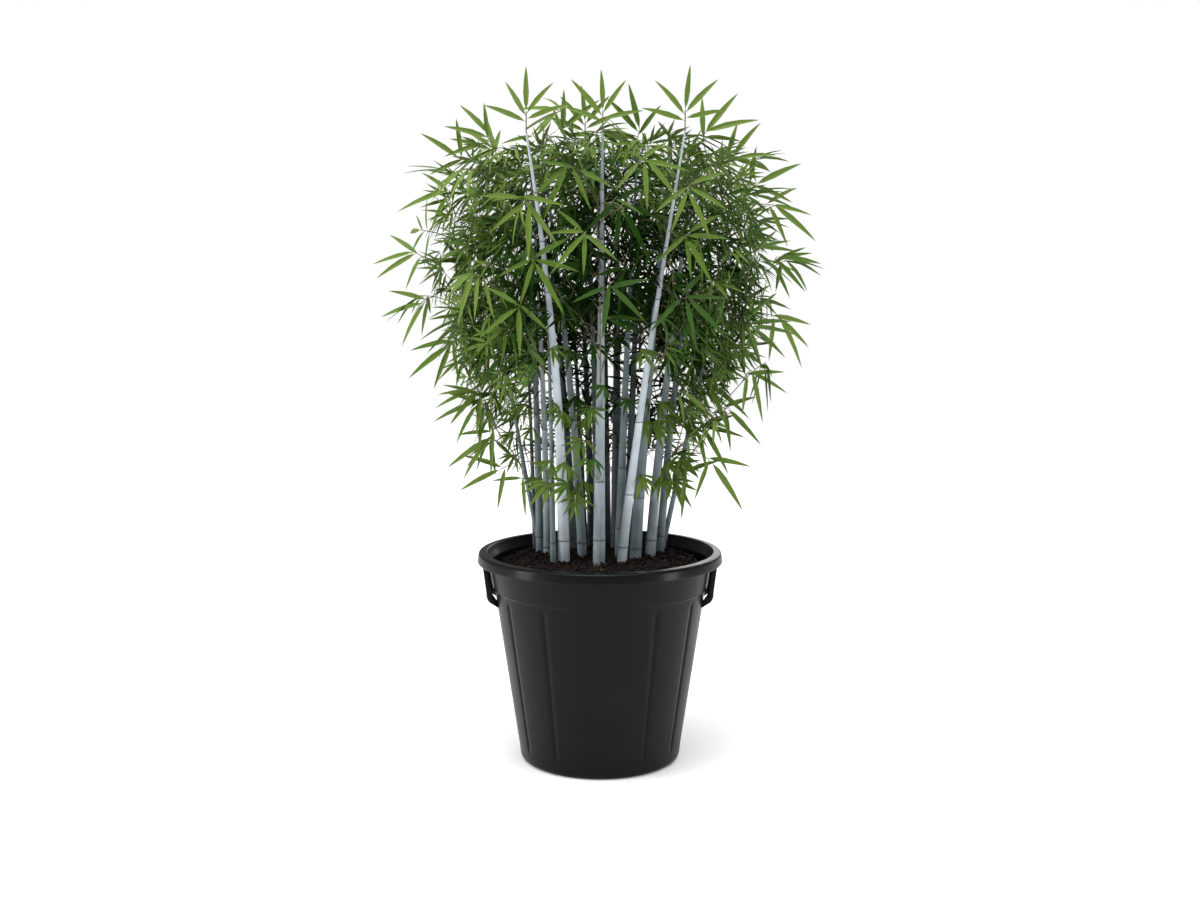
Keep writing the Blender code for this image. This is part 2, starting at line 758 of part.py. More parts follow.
class Growth:
    """The twigs and leaves of one mass, kept clear of every other mass and of the culms."""

    def __init__(self, mass, culms, around, rng):
        self.mass = mass
        self.culms = culms
        self.rng = rng
        self.around = around
        self.samples = [(mass.stem[i], self.heading(mass.stem, i)) for i in range(1, len(mass.stem))]
        self.pieces = []
        self.blades = []
        radii = taper(STEM_RADIUS + CLEARANCE, TWIG_RADIUS + CLEARANCE, len(mass.stem))
        self.space = [tube(mass.stem, radii, 3)]

    @staticmethod
    def heading(path, i):
        return (path[min(i + 1, len(path) - 1)] - path[i - 1]).normalized()

    def clear(self, wide, shape):
        """Whether a piece stands off every neighbour and crosses no leaf of its own mass."""
        tree = tree_of([wide])
        if any(tree.overlap(other) for other in self.around):
            return False
        tree = tree_of([shape])
        return not any(tree.overlap(other) for other in self.blades)

    def joints(self, target):
        """Places on the stem and earlier twigs, the one that a new twig leaves most naturally first."""

        def cost(sample):
            way = target - sample[0]
            return way.length * (1.6 - sample[1].dot(way.normalized()))

        usable = [s for s in self.samples if (target - s[0]).length > 0.02]
        return sorted(usable, key=cost)[:7]

    def add_twig(self, target, direction):
        """A twig from the best joint that leaves it a clear way, ending along the direction."""
        for joint, heading in self.joints(target):
            reach = (target - joint).length
            bend = (joint + heading * (0.4 * reach) + target - direction * (0.4 * reach)) / 2
            path = curve_points(joint, bend, target, 2 if reach > 0.09 else 1)
            radii = taper(TWIG_RADIUS, TWIG_TIP, len(path))
            wide = tube(path, [r + CLEARANCE for r in radii], 3)
            twig = tube(path, radii, 3)
            if self.clear(wide, twig):
                self.pieces.append(twig)
                self.space.append(wide)
                self.samples += [(path[i], self.heading(path, i)) for i in range(1, len(path))]
                return path
        return None

    def add_leaf(self, root, heading, normal, length, free=False):
        for share in LEAF_SIZES[1:] if free else LEAF_SIZES:
            wide = leaf_shape(root, heading, normal, length * share, CLEARANCE)
            leaf = leaf_shape(root, heading, normal, length * share)
            tip = leaf[0][5]
            allowed = tip.z < CROWN_TOP if free else inside_crown(tip)
            if not free and (hides_front_culm(tip, self.culms) or hides_front_culm(wide[0][2], self.culms)):
                allowed = False
            if allowed and self.clear(wide, leaf):
                self.pieces.append(leaf)
                self.blades.append(tree_of([leaf]))
                self.space.append(wide)
                return

    def add_spray(self, target):
        direction, facing = spray_setting(target, self.rng)
        path = self.add_twig(target, direction)
        if path:
            for leaf in fan_of(path, direction, facing, LEAF_LENGTH, self.rng):
                self.add_leaf(*leaf)

    def add_end_fan(self):
        """The fan that a culm ends in, or the few small leaves of a sprig."""
        if self.mass.kind == "top":
            up = Vector((0, 0, 1))
            facing = Vector((self.mass.middle.x * 0.5, -1, 0)).normalized()
            leaves = fan_of(self.mass.stem, up, facing, TIP_LEAF_LENGTH, self.rng)
        else:
            hang = (self.mass.stem[-1] - self.mass.stem[-2]).normalized() + Vector((0, -0.3, -0.9))
            facing = Vector((0, -0.8, 0.5)).normalized()
            facing -= hang.normalized() * facing.dot(hang.normalized())
            stem, length = self.mass.stem, SPRIG_LEAF_LENGTH
            leaves = fan_of(stem, hang.normalized(), facing.normalized(), length, self.rng)
        for leaf in leaves:
            self.add_leaf(*leaf, free=True)


def build_crown(culms, culm_objects, finish):
    """Grows the masses one after another, each in the room that the culms and the others leave it."""
    rng = random.Random(SEED)
    culm_trees = {}
    for name, obj in culm_objects.items():
        points = [v.co.copy() for v in obj.data.vertices]
        culm_trees[name] = BVHTree.FromPolygons(points, [tuple(p.vertices) for p in obj.data.polygons])
    masses = plan_masses(culms)
    spaces = {}
    for mass in masses:
        place_stem(mass, culms, culm_trees, spaces)
    masses = [mass for mass in masses if mass.stem]
    growing = [mass for mass in masses if mass.kind != "sprig"]
    shares = {mass.name: [] for mass in masses}
    for point in spray_points(rng):
        nearest = min(growing, key=lambda mass: (mass.middle - point).length)
        shares[nearest.name].append(point)
    for mass in masses:
        around = [*culm_trees.values(), *(space for name, space in spaces.items() if name != mass.name)]
        growth = Growth(mass, culms, around, rng)
        if mass.kind != "mass":
            growth.add_end_fan()
        for target in sorted(shares[mass.name], key=lambda p: (p - mass.stem[-1]).length):
            growth.add_spray(target)
        spaces[mass.name] = tree_of(growth.space)
        radii = taper(STEM_RADIUS, TWIG_RADIUS, len(mass.stem))
        stem = add_object(mass.name, tube(mass.stem, radii, 3), finish)
        fuse(stem, [add_object("piece", shape, finish) for shape in growth.pieces], solver="MANIFOLD")
        keep_main_body(stem)


def build_potted_bamboo():
    clear_scene()
    black = material("black_plastic", (0.018, 0.018, 0.019), 0.42)
    earth = material("compost", (0.055, 0.036, 0.024), 0.95)
    wax = material("blue_culm", (0.46, 0.53, 0.57), 0.55)
    green = material("leaf_green", (0.105, 0.235, 0.045), 0.5)
    build_tub(black)
    build_rim(black)
    build_grip("grip_right", 0.0, black)
    build_grip("grip_left", math.pi, black)
    build_soil(earth)
    culms = {name: Culm(name, *sizes) for name, sizes in CULMS.items()}
    culm_objects = {name: build_culm(culm, wax) for name, culm in culms.items()}
    build_crown(culms, culm_objects, green)


build_potted_bamboo()
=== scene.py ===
import math
import random
from collections import namedtuple

import bmesh
import bpy
import numpy as np
from mathutils import Matrix, Vector, noise


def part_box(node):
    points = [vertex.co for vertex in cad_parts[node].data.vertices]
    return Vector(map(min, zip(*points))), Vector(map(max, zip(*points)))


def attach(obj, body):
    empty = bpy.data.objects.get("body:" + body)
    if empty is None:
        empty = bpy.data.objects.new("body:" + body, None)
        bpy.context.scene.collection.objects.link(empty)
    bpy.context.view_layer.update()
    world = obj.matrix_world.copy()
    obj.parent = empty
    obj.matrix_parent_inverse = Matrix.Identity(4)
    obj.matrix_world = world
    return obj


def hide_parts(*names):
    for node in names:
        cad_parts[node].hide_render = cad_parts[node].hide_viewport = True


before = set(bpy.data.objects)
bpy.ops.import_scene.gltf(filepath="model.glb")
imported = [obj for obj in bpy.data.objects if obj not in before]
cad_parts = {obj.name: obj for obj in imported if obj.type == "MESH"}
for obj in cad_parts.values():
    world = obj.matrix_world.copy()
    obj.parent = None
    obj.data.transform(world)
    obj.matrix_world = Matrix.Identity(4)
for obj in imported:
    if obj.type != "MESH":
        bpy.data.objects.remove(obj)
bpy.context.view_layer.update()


# ---------------------------------------------------------------- the tub's wall
# A planting tub of black polypropylene, injection moulded as one thin tapering wall. A band stands proud
# of it under the rim, eight grooves are pressed into it, and the mould leaves a fine satin grain.

wall_draft = 0.149
foot_radius = 0.163
foot_rounding = 0.014
wall_thickness = 0.004
band_bottom = 0.357
band_step = 0.0033
band_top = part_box("tub")[1].z
groove_angles = [math.radians(a) for a in (32, 59, 121, 148, 212, 239, 301, 328)]
groove_half_width = 0.0034
groove_depth = 0.0024
groove_foot = 0.030
groove_head = 0.346
groove_run_out = 0.010
groove_middle = 0.2
groove_insets = (0.001, 0.008)
groove_cuts = ((0.8, 0.65), (0.3, 0.35))
foot_recess = 0.0018
foot_ring_inset = 0.004
wall_step = math.radians(2.5)


def wall_radius(height):
    return foot_radius + wall_draft * height


def band_radius(height):
    return wall_radius(band_bottom) + band_step + wall_draft * (height - band_bottom)


def rounded(corners, steps=4):
    """(radius, height) points of a section, from corners given as (radius, height, rounding)."""
    points = []
    for i, (r, h, ease) in enumerate(corners):
        here = Vector((r, h))
        if not ease:
            points.append(here)
            continue
        before = (Vector(corners[i - 1][:2]) - here).normalized() * ease
        after = (Vector(corners[(i + 1) % len(corners)][:2]) - here).normalized() * ease
        for k in range(steps + 1):
            t = k / steps
            points.append(here + before * (1 - t) ** 2 + after * t**2)
    return points


def open_shape(add, **settings):
    """A new piece from one of the primitives, open in edit mode."""
    bpy.ops.object.select_all(action="DESELECT")
    add(**settings)
    piece = bpy.context.object
    bpy.ops.object.mode_set(mode="EDIT")
    return piece


def start_line(name, place):
    """A new piece of one point at a (radius, height) place, open in edit mode."""
    piece = open_shape(bpy.ops.mesh.primitive_plane_add, size=0.01)
    piece.name = piece.data.name = name
    bpy.ops.mesh.merge(type="CENTER")
    bpy.ops.transform.translate(value=(place[0], 0, place[1]))
    return piece


def draw_line(points, closed=False):
    """Extrudes the open point along a section, and joins its ends where it is closed."""
    for before, after in zip(points, points[1:]):
        step = after - before
        bpy.ops.mesh.extrude_vertices_move(TRANSFORM_OT_translate={"value": (step.x, 0, step.y)})
    bpy.ops.mesh.select_all(action="SELECT")
    if closed:
        bpy.ops.mesh.edge_face_add()
        bpy.ops.mesh.delete(type="ONLY_FACE")
        bpy.ops.mesh.select_all(action="SELECT")


def spin_on(angle, steps):
    """Turns the selected section on about the upright axis, and leaves its new end selected."""
    bpy.ops.mesh.spin(steps=steps, angle=angle, center=(0, 0, 0), axis=(0, 0, -1))


def close_shape(merge=0.00001):
    """Merges what meets, points every face outwards and leaves edit mode."""
    bpy.ops.mesh.select_all(action="SELECT")
    bpy.ops.mesh.remove_doubles(threshold=merge)
    bpy.ops.mesh.normals_make_consistent(inside=False)
    bpy.ops.object.mode_set(mode="OBJECT")


def select_points(piece, wanted):
    """Selects the points of the open mesh that the test picks out by their place."""
    mesh = bmesh.from_edit_mesh(piece.data)
    bpy.ops.mesh.select_all(action="DESELECT")
    for point in mesh.verts:
        point.select = wanted(point.co)
    mesh.select_flush(True)
    bmesh.update_edit_mesh(piece.data)


def shade(piece, degrees):
    bpy.ops.object.select_all(action="DESELECT")
    piece.select_set(True)
    bpy.context.view_layer.objects.active = piece
    bpy.ops.object.shade_smooth_by_angle(angle=math.radians(degrees))


def wall_section():
    """The wall's section, from the middle of the underside, up the outside and down inside."""
    foot_ring = foot_radius - foot_rounding - foot_ring_inset
    throat = wall_radius(band_top) - wall_thickness / 2
    foot = foot_rounding
    below_band = band_bottom - band_step
    inner = wall_radius(foot) - wall_thickness
    outside = [
        (0, foot_recess, 0),
        (foot_ring - 0.005, foot_recess, 0.0008),
        (foot_ring - 0.003, 0, 0.0008),
        (foot_radius + 0.0012, 0, foot * 0.9),
        (wall_radius(groove_foot - 0.002), groove_foot - 0.002, 0),
    ]
    rows = (0, groove_run_out / 2, groove_run_out)
    for height in [groove_foot + r for r in rows] + [groove_head - r for r in reversed(rows)]:
        outside.append((wall_radius(height), height, 0))
    outside += [
        (wall_radius(below_band), below_band, 0.0012),
        (band_radius(band_bottom), band_bottom, 0.0016),
        (band_radius(band_top), band_top, 0),
    ]
    inside = [
        (throat, band_top, 0),
        (wall_radius(band_bottom) - wall_thickness, band_bottom, 0),
        (inner, foot, 0.003),
        (inner - 0.012, wall_thickness, 0.003),
        (0, wall_thickness, 0),
    ]
    return rounded(outside + inside)


def press_grooves(tub):
    """Draws the wall in along each groove, full depth along its run and eased out at both ends."""
    half = groove_half_width / wall_radius(groove_middle)

    def off_groove(place):
        around = math.atan2(place.y, place.x) % (2 * math.pi)
        return min(abs(around - a) for a in groove_angles)

    def on_wall(place):
        return math.hypot(place.x, place.y) > wall_radius(place.z) - wall_thickness / 2

    for width, share in groove_cuts:
        for inset in groove_insets:
            low, high = groove_foot + inset, groove_head - inset
            select_points(tub, lambda p: low < p.z < high and on_wall(p) and off_groove(p) < width * half)
            squeeze = 1 - groove_depth * share / len(groove_insets) / wall_radius(groove_middle)
            bpy.ops.transform.resize(value=(squeeze, squeeze, 1), center_override=(0, 0, 0))


def make_tub():
    section = wall_section()
    tub = start_line("tub_wall", section[0])
    draw_line(section)
    half = groove_half_width / wall_radius(groove_middle)
    reached = 0.0
    for angle in groove_angles:
        plain = angle - half - reached
        spin_on(plain, max(round(plain / wall_step), 1))
        spin_on(2 * half, 4)
        reached = angle + half
    plain = 2 * math.pi - reached
    spin_on(plain, round(plain / wall_step))
    bpy.ops.mesh.select_all(action="SELECT")
    bpy.ops.mesh.remove_doubles(threshold=0.00001)
    press_grooves(tub)
    close_shape()
    shade(tub, 40)
    return tub


def new_group(name, inputs, outputs):
    """An empty node group with the named sockets, and its two ends."""
    group = bpy.data.node_groups.new(name, "ShaderNodeTree")
    for socket, kind, value in inputs:
        group.interface.new_socket(socket, in_out="INPUT", socket_type=kind).default_value = value
    for socket, kind in outputs:
        group.interface.new_socket(socket, in_out="OUTPUT", socket_type=kind)
    return group, group.nodes.new("NodeGroupInput"), group.nodes.new("NodeGroupOutput")


def add_node(tree, kind, label, **settings):
    node = tree.nodes.new(kind)
    node.label = label
    for name, value in settings.items():
        setattr(node, name, value)
    return node


def set_inputs(node, **values):
    """Sets a node's inputs by name, with an underscore for each space in it."""
    for name, value in values.items():
        node.inputs[name.replace("_", " ")].default_value = value


def link_all(tree, *pairs):
    for source, target in pairs:
        tree.links.new(source, target)


def make_speckle_group():
    """Fine specks and soft clouds in object space, for a surface that isn't quite even."""
    group, ends_in, ends_out = new_group(
        "surface_variation",
        [
            ("Cloud Scale", "NodeSocketFloat", 20.0),
            ("Speck Scale", "NodeSocketFloat", 600.0),
            ("Speck Share", "NodeSocketFloat", 0.3),
        ],
        [("Amount", "NodeSocketFloat"), ("Relief", "NodeSocketFloat")],
    )
    place = add_node(group, "ShaderNodeTexCoord", "place")
    cloud = add_node(group, "ShaderNodeTexNoise", "clouds")
    set_inputs(cloud, Detail=4.0)
    speck = add_node(group, "ShaderNodeTexNoise", "specks")
    set_inputs(speck, Detail=2.0)
    blend = add_node(group, "ShaderNodeMix", "clouds and specks", data_type="FLOAT")
    link_all(
        group,
        (place.outputs["Object"], cloud.inputs["Vector"]),
        (place.outputs["Object"], speck.inputs["Vector"]),
        (ends_in.outputs["Cloud Scale"], cloud.inputs["Scale"]),
        (ends_in.outputs["Speck Scale"], speck.inputs["Scale"]),
        (ends_in.outputs["Speck Share"], blend.inputs["Factor"]),
        (cloud.outputs["Fac"], blend.inputs["A"]),
        (speck.outputs["Fac"], blend.inputs["B"]),
        (blend.outputs["Result"], ends_out.inputs["Amount"]),
        (speck.outputs["Fac"], ends_out.inputs["Relief"]),
    )
    return group


variation_group = make_speckle_group()


def new_material(name, roughness, specular=0.5):
    made = bpy.data.materials.new(name)
    made.use_nodes = True
    shader = made.node_tree.nodes["Principled BSDF"]
    set_inputs(shader, Roughness=roughness, Specular_IOR_Level=specular)
    return made, made.node_tree, shader


def add_variation(tree, cloud_scale, speck_scale, speck_share):
    node = add_node(tree, "ShaderNodeGroup", "variation", node_tree=variation_group)
    set_inputs(node, Cloud_Scale=cloud_scale, Speck_Scale=speck_scale, Speck_Share=speck_share)
    return node


def add_ramp(tree, label, source, stops):
    """A colour ramp from (position, colour) stops, read from a value."""
    ramp = add_node(tree, "ShaderNodeValToRGB", label)
    elements = ramp.color_ramp.elements
    while len(elements) < len(stops):
        elements.new(0.5)
    for element, (position, colour) in zip(elements, stops):
        element.position = position
        element.color = (*colour, 1.0)
    tree.links.new(source, ramp.inputs["Fac"])
    return ramp.outputs["Color"]


def add_range(tree, label, source, low, high, to_low, to_high):
    node = add_node(tree, "ShaderNodeMapRange", label)
    set_inputs(node, From_Min=low, From_Max=high, To_Min=to_low, To_Max=to_high)
    tree.links.new(source, node.inputs["Value"])
    return node.outputs["Result"]


def add_bump(tree, shader, source, depth, strength):
    bump = add_node(tree, "ShaderNodeBump", "relief")
    set_inputs(bump, Strength=strength, Distance=depth)
    tree.links.new(source, bump.inputs["Height"])
    tree.links.new(bump.outputs["Normal"], shader.inputs["Normal"])


def make_plastic(name, skin, skin_roughness):
    """Satin black plastic: faint clouds of dust and handling, and the fine grain of the mould."""
    made, tree, shader = new_material(name, 0.40, 0.095)
    set_inputs(shader, Coat_Weight=skin, Coat_Roughness=skin_roughness)
    cloud = add_variation(tree, 9.0, 900.0, 0.25)
    colour = add_ramp(tree, "dust", cloud.outputs["Amount"], [
        (0.30, (0.0024, 0.0024, 0.0027)),
        (0.55, (0.0032, 0.0032, 0.0036)),
        (0.75, (0.0062, 0.0060, 0.0060)),
    ])
    tree.links.new(colour, shader.inputs["Base Color"])
    rough = add_range(tree, "handling", cloud.outputs["Amount"], 0.3, 0.7, 0.34, 0.46)
    tree.links.new(rough, shader.inputs["Roughness"])
    add_bump(tree, shader, cloud.outputs["Relief"], 0.0002, 0.25)
    return made


black_plastic = make_plastic("black_plastic", 0.05, 0.18)


def finish_piece(piece, materials, slot, *nodes):
    """Gives a finished piece its materials and hangs it under the root, in place of the CAD nodes that it
    stands for, which it hides. The slot is not used.
    """
    for material in materials:
        piece.data.materials.append(material)
    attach(piece, "root")
    if nodes:
        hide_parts(*nodes)


tub_wall = make_tub()
finish_piece(tub_wall, [black_plastic], "tub_plastic", "tub")


# ---------------------------------------------------------------- the rim
# The wall is rolled outwards at the top into a broad rim. It is moulded in one with the wall, hangs a
# little way down outside the band, and rounds over into the mouth.

tub_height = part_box("rim")[1].z
rim_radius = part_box("rim")[1].x
rim_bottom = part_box("rim")[0].z
mouth_radius = 0.2315
rim_flare = 0.0025
rim_crown = 0.0055
rim_lip = 0.0022
rim_dish = 0.0012
mouth_edge = 0.0020
mouth_depth = 0.010
mouth_inset = 0.0035


def make_rim():
    throat = wall_radius(band_top) - wall_thickness / 2
    section = rounded(
        [
            (throat, rim_bottom, 0),
            (rim_radius, rim_bottom, rim_lip),
            (rim_radius - rim_flare, tub_height - rim_dish, rim_crown),
            (mouth_radius, tub_height, mouth_edge),
            (mouth_radius - mouth_inset, tub_height - mouth_depth, 0.003),
        ],
        steps=6,
    )
    rim = start_line("tub_rim", section[0])
    draw_line(section, closed=True)
    spin_on(2 * math.pi, 160)
    close_shape()
    shade(rim, 50)
    return rim


tub_rim = make_rim()
finish_piece(tub_rim, [make_plastic("worn_rim_plastic", 0.09, 0.15)], "tub_plastic", "rim")


# ---------------------------------------------------------------- the grips
# A grip hangs under the rim on each side: two flat arms that lean in with the wall and turn back to it at
# their foot, and a round-edged bar between them for the fingers, moulded in the same plastic as the tub.

grip_half_angle = math.radians(12.5)
grip_arm_angle = math.radians(3.0)
grip_top_outer = 0.2415
grip_bar_outer = 0.2345
grip_bar_low, grip_bar_high = 0.337, 0.349
grip_root_low, grip_root_high = 0.3195, 0.334
grip_thickness = 0.0115
grip_seat = 0.0003
grip_edge = 0.0011
grip_bar_edge = 0.0035


def arm_section():
    inside = grip_thickness
    return rounded([
        (grip_top_outer - inside, band_top, 0),
        (grip_bar_outer - inside, grip_bar_high, 0.004),
        (wall_radius(grip_root_high) + grip_seat, grip_root_high, 0),
        (wall_radius(grip_root_low) + grip_seat, grip_root_low, 0),
        (grip_bar_outer - 0.002, grip_bar_low - 0.003, 0.006),
        (grip_top_outer, band_top - 0.004, 0.001),
        (grip_top_outer + 0.0016, band_top, 0),
    ])


def bar_section():
    inner, outer = grip_bar_outer - grip_thickness + 0.0015, grip_bar_outer - 0.0008
    low, high = grip_bar_low, grip_bar_high
    corners = ((inner, low), (outer, low), (outer, high), (inner, high))
    return rounded([(r, h, grip_bar_edge) for r, h in corners])


def turned_part(name, section, start, end, steps):
    """A solid made by filling a closed section and turning it from one azimuth to another."""
    part = start_line(name, section[0])
    draw_line(section)
    bpy.ops.mesh.edge_face_add()
    spin_on(end - start, steps)
    close_shape()
    part.data.transform(Matrix.Rotation(start, 4, "Z"))
    return part


def make_grip(name, middle):
    inner_edge = grip_half_angle - grip_arm_angle
    bar_reach = inner_edge + grip_arm_angle / 2
    grip = turned_part(name, bar_section(), middle - bar_reach, middle + bar_reach, 16)
    for side in (-1, 1):
        start, end = sorted((middle + side * inner_edge, middle + side * grip_half_angle))
        arm = turned_part(f"{name}_arm", arm_section(), start, end, 2)
        union = grip.modifiers.new("arm", "BOOLEAN")
        union.operation = "UNION"
        union.object = arm
        union.solver = "EXACT"
        bpy.ops.object.select_all(action="DESELECT")
        bpy.context.view_layer.objects.active = grip
        bpy.ops.object.modifier_apply(modifier="arm")
        bpy.data.objects.remove(arm)
    edge = grip.modifiers.new("eased_edges", "BEVEL")
    edge.width = grip_edge
    edge.segments = 2
    edge.angle_limit = math.radians(40)
    bpy.ops.object.modifier_apply(modifier="eased_edges")
    shade(grip, 35)
    return grip


for grip_name, grip_middle in (("grip_right", 0.0), ("grip_left", math.pi)):
    moulding = make_grip(f"{grip_name}_moulding", grip_middle)
    finish_piece(moulding, [black_plastic], "grip_plastic", grip_name)


# ---------------------------------------------------------------- the compost
# Moist potting compost, mounded round the clump: a dark bed of fine stuff, loose crumbs lying on it, and a
# few pale chips and root ends.

soil_edge = 0.392
soil_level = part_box("compost")[1].z
soil_plateau = 0.160
bed_foot = 0.30
bed_gap = 0.0006
bed_rows = 40
bed_relief, bed_sink = 0.0034, 0.0020
crumb_count = 4200
crumb_sizes = (0.0022, 0.0130)
chip_count = 170
chip_sizes = (0.002, 0.008)
compost_seed = 5


def soil_height(radius):
    """The bed's height: level round the clump, and falling to its edge at the wall."""
    edge = wall_radius(soil_edge) - wall_thickness
    fall = max((radius - soil_plateau) / (edge - soil_plateau), 0.0)
    return soil_level - (soil_level - soil_edge) * fall**1.7


def make_soil_bed():
    edge = wall_radius(soil_edge) - wall_thickness - bed_gap
    foot = wall_radius(bed_foot) - wall_thickness - bed_gap
    section = [Vector((0, bed_foot)), Vector((foot, bed_foot))]
    for k in range(bed_rows + 1):
        radius = edge * (1 - k / bed_rows)
        section.append(Vector((radius, soil_height(radius))))
    bed = start_line("compost_bed", section[0])
    draw_line(section)
    spin_on(2 * math.pi, 140)
    close_shape()
    for vert in bed.data.vertices:
        if vert.co.z > bed_foot + 0.01:
            lump = noise.noise(vert.co * 90) + 0.5 * noise.noise(vert.co * 220)
            inward = min((edge - math.hypot(vert.co.x, vert.co.y)) / 0.01, 1.0)
            vert.co.z += bed_relief * lump * inward - bed_sink
    shade(bed, 180)
    return bed


def take_shape(piece):
    """The (points, triangles) of a small open piece, which is then removed."""
    bpy.ops.mesh.select_all(action="SELECT")
    bpy.ops.mesh.quads_convert_to_tris()
    bpy.ops.object.mode_set(mode="OBJECT")
    points = np.array([v.co for v in piece.data.vertices])
    faces = np.array([p.vertices for p in piece.data.polygons])
    bpy.data.objects.remove(piece)
    return points, faces


def model_lump(roughness, stretch, seed):
    """One small rough lump for the loose stuff to be laid out with."""
    lump = open_shape(bpy.ops.mesh.primitive_ico_sphere_add, subdivisions=1, radius=0.5)
    bpy.ops.transform.vertex_random(offset=roughness, uniform=1.0, seed=seed)
    bpy.ops.transform.resize(value=stretch)
    bpy.ops.mesh.normals_make_consistent(inside=False)
    return take_shape(lump)


def place_object(name, data):
    holder = bpy.data.objects.new(name, data)
    bpy.context.scene.collection.objects.link(holder)
    return holder


def joined_mesh(name, shapes):
    """One object from many (points, triangles, material index) shapes. The index may differ by triangle."""
    points, faces, finishes, base = [], [], [], 0
    for some_points, some_faces, finish in shapes:
        points.append(some_points)
        faces.append(some_faces + base)
        finishes.append(np.full(len(some_faces), finish))
        base += len(some_points)
    mesh = bpy.data.meshes.new(name)
    mesh.from_pydata(np.concatenate(points).tolist(), [], np.concatenate(faces).tolist())
    mesh.polygons.foreach_set("material_index", np.concatenate(finishes).astype(np.int32))
    return place_object(name, mesh)


def random_turn(rng):
    axis = Vector((rng.gauss(0, 1), rng.gauss(0, 1), rng.gauss(0, 1))).normalized()
    return np.array(Matrix.Rotation(rng.uniform(0, 2 * math.pi), 3, axis))


def scatter(rng, lumps, count, sizes, sink):
    """Copies of the lumps laid all over the bed, with far more small ones than large."""
    edge = wall_radius(soil_edge) - wall_thickness - sizes[1] * 0.6
    shapes = []
    for _ in range(count):
        radius, angle = edge * math.sqrt(rng.random()), rng.uniform(0, 2 * math.pi)
        size = sizes[0] + (sizes[1] - sizes[0]) * rng.random() ** 2.2
        points, faces = rng.choice(lumps)
        place = (radius * math.cos(angle), radius * math.sin(angle), soil_height(radius) + size * sink)
        turned = points @ random_turn(rng).T * size + np.array(place)
        shapes.append((turned, faces, 0))
        rng.random()  # one draw more for each lump keeps the seeded order
    return shapes


def make_earth(name, dark, light, roughness):
    made, tree, shader = new_material(name, roughness, 0.25)
    cloud = add_variation(tree, 120.0, 900.0, 0.5)
    colour = add_ramp(tree, "damp and dry", cloud.outputs["Amount"], [(0.32, dark), (0.68, light)])
    tree.links.new(colour, shader.inputs["Base Color"])
    add_bump(tree, shader, cloud.outputs["Relief"], 0.0006, 0.8)
    return made


compost_rng = random.Random(compost_seed)
soil_bed = make_soil_bed()
black_earth = make_earth("black_compost", (0.004, 0.003, 0.002), (0.017, 0.010, 0.007), 0.95)
finish_piece(soil_bed, [black_earth], "compost", "compost")

crumb_shapes = [model_lump(0.16, (1, 0.85, 0.7), seed) for seed in (1, 2, 3)]
crumbs = scatter(compost_rng, crumb_shapes, crumb_count, crumb_sizes, 0.15)
finish_piece(joined_mesh("compost_crumbs", crumbs), [black_earth], "compost")

chip_shapes = [model_lump(0.10, stretch, 4) for stretch in ((1, 0.35, 0.2), (1.6, 0.16, 0.14))]
chips = scatter(compost_rng, chip_shapes, chip_count, chip_sizes, 0.25)
chip_wood = make_earth("wood_chip", (0.16, 0.11, 0.06), (0.42, 0.33, 0.20), 0.8)
finish_piece(joined_mesh("compost_chips", chips), [chip_wood], "compost")


# ---------------------------------------------------------------- the culms
# Twenty-three culms stand in the compost, each a hollow woody cane with a thin dark scar at every joint, a
# slight swelling over it, and a chalky blue-white bloom on the rest that is thickest just under a joint.

culm_names = sorted(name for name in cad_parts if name.startswith("culm_"))
level_gap = 0.001
joint_gap = 0.006


class Cane:
    """A culm's line and taper, read from the level rings of its CAD solid."""

    def __init__(self, name):
        self.name = name
        levels = []
        for point in sorted(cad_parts[name].data.vertices, key=lambda v: v.co.z):
            if not levels or point.co.z - levels[-1][0].z > level_gap:
                levels.append([])
            levels[-1].append(point.co.copy())
        centres = []
        for level in levels:
            spread = {tuple(round(c, 5) for c in point): point for point in level}.values()
            centres.append(sum(spread, Vector()) / len(spread))
        self.centres = centres
        self.foot, self.tip = centres[0], centres[-1]
        self.radius = max((point - self.foot).length for point in levels[0])
        self.tip_radius = max((point - self.tip).length for point in levels[-1])
        heights = [centre.z for centre in centres]
        self.joints = [a for a, b in zip(heights[1:-1], heights[2:]) if b - a > joint_gap]

    def centre(self, height):
        """The middle of the culm at a height, on straight runs from joint to joint."""
        for low, high in zip(self.centres, self.centres[1:]):
            if height <= high.z:
                break
        share = (height - low.z) / (high.z - low.z)
        return low.lerp(high, share)

    def radius_at(self, height):
        share = (height - self.foot.z) / (self.tip.z - self.foot.z)
        return self.radius + (self.tip_radius - self.radius) * share

    def joint_near(self, height):
        return min(self.joints, key=lambda joint: abs(joint - height))


culm_sides = 24
culm_sunk = 0.006
# each ring round a joint: its height over the joint, girth, share of scar and share of bloom
joint_rings = (
    (-0.0320, 1.000, 0.00, 0.40),
    (-0.0090, 1.000, 0.00, 0.90),
    (-0.0022, 1.010, 0.00, 1.00),
    (-0.0009, 1.055, 0.25, 0.60),
    (-0.0001, 1.085, 1.00, 0.00),
    (0.0006, 1.050, 0.85, 0.00),
    (0.0013, 1.035, 0.15, 0.25),
    (0.0042, 1.060, 0.00, 0.35),
    (0.0080, 1.015, 0.00, 0.40),
    (0.0150, 1.000, 0.00, 0.35),
)


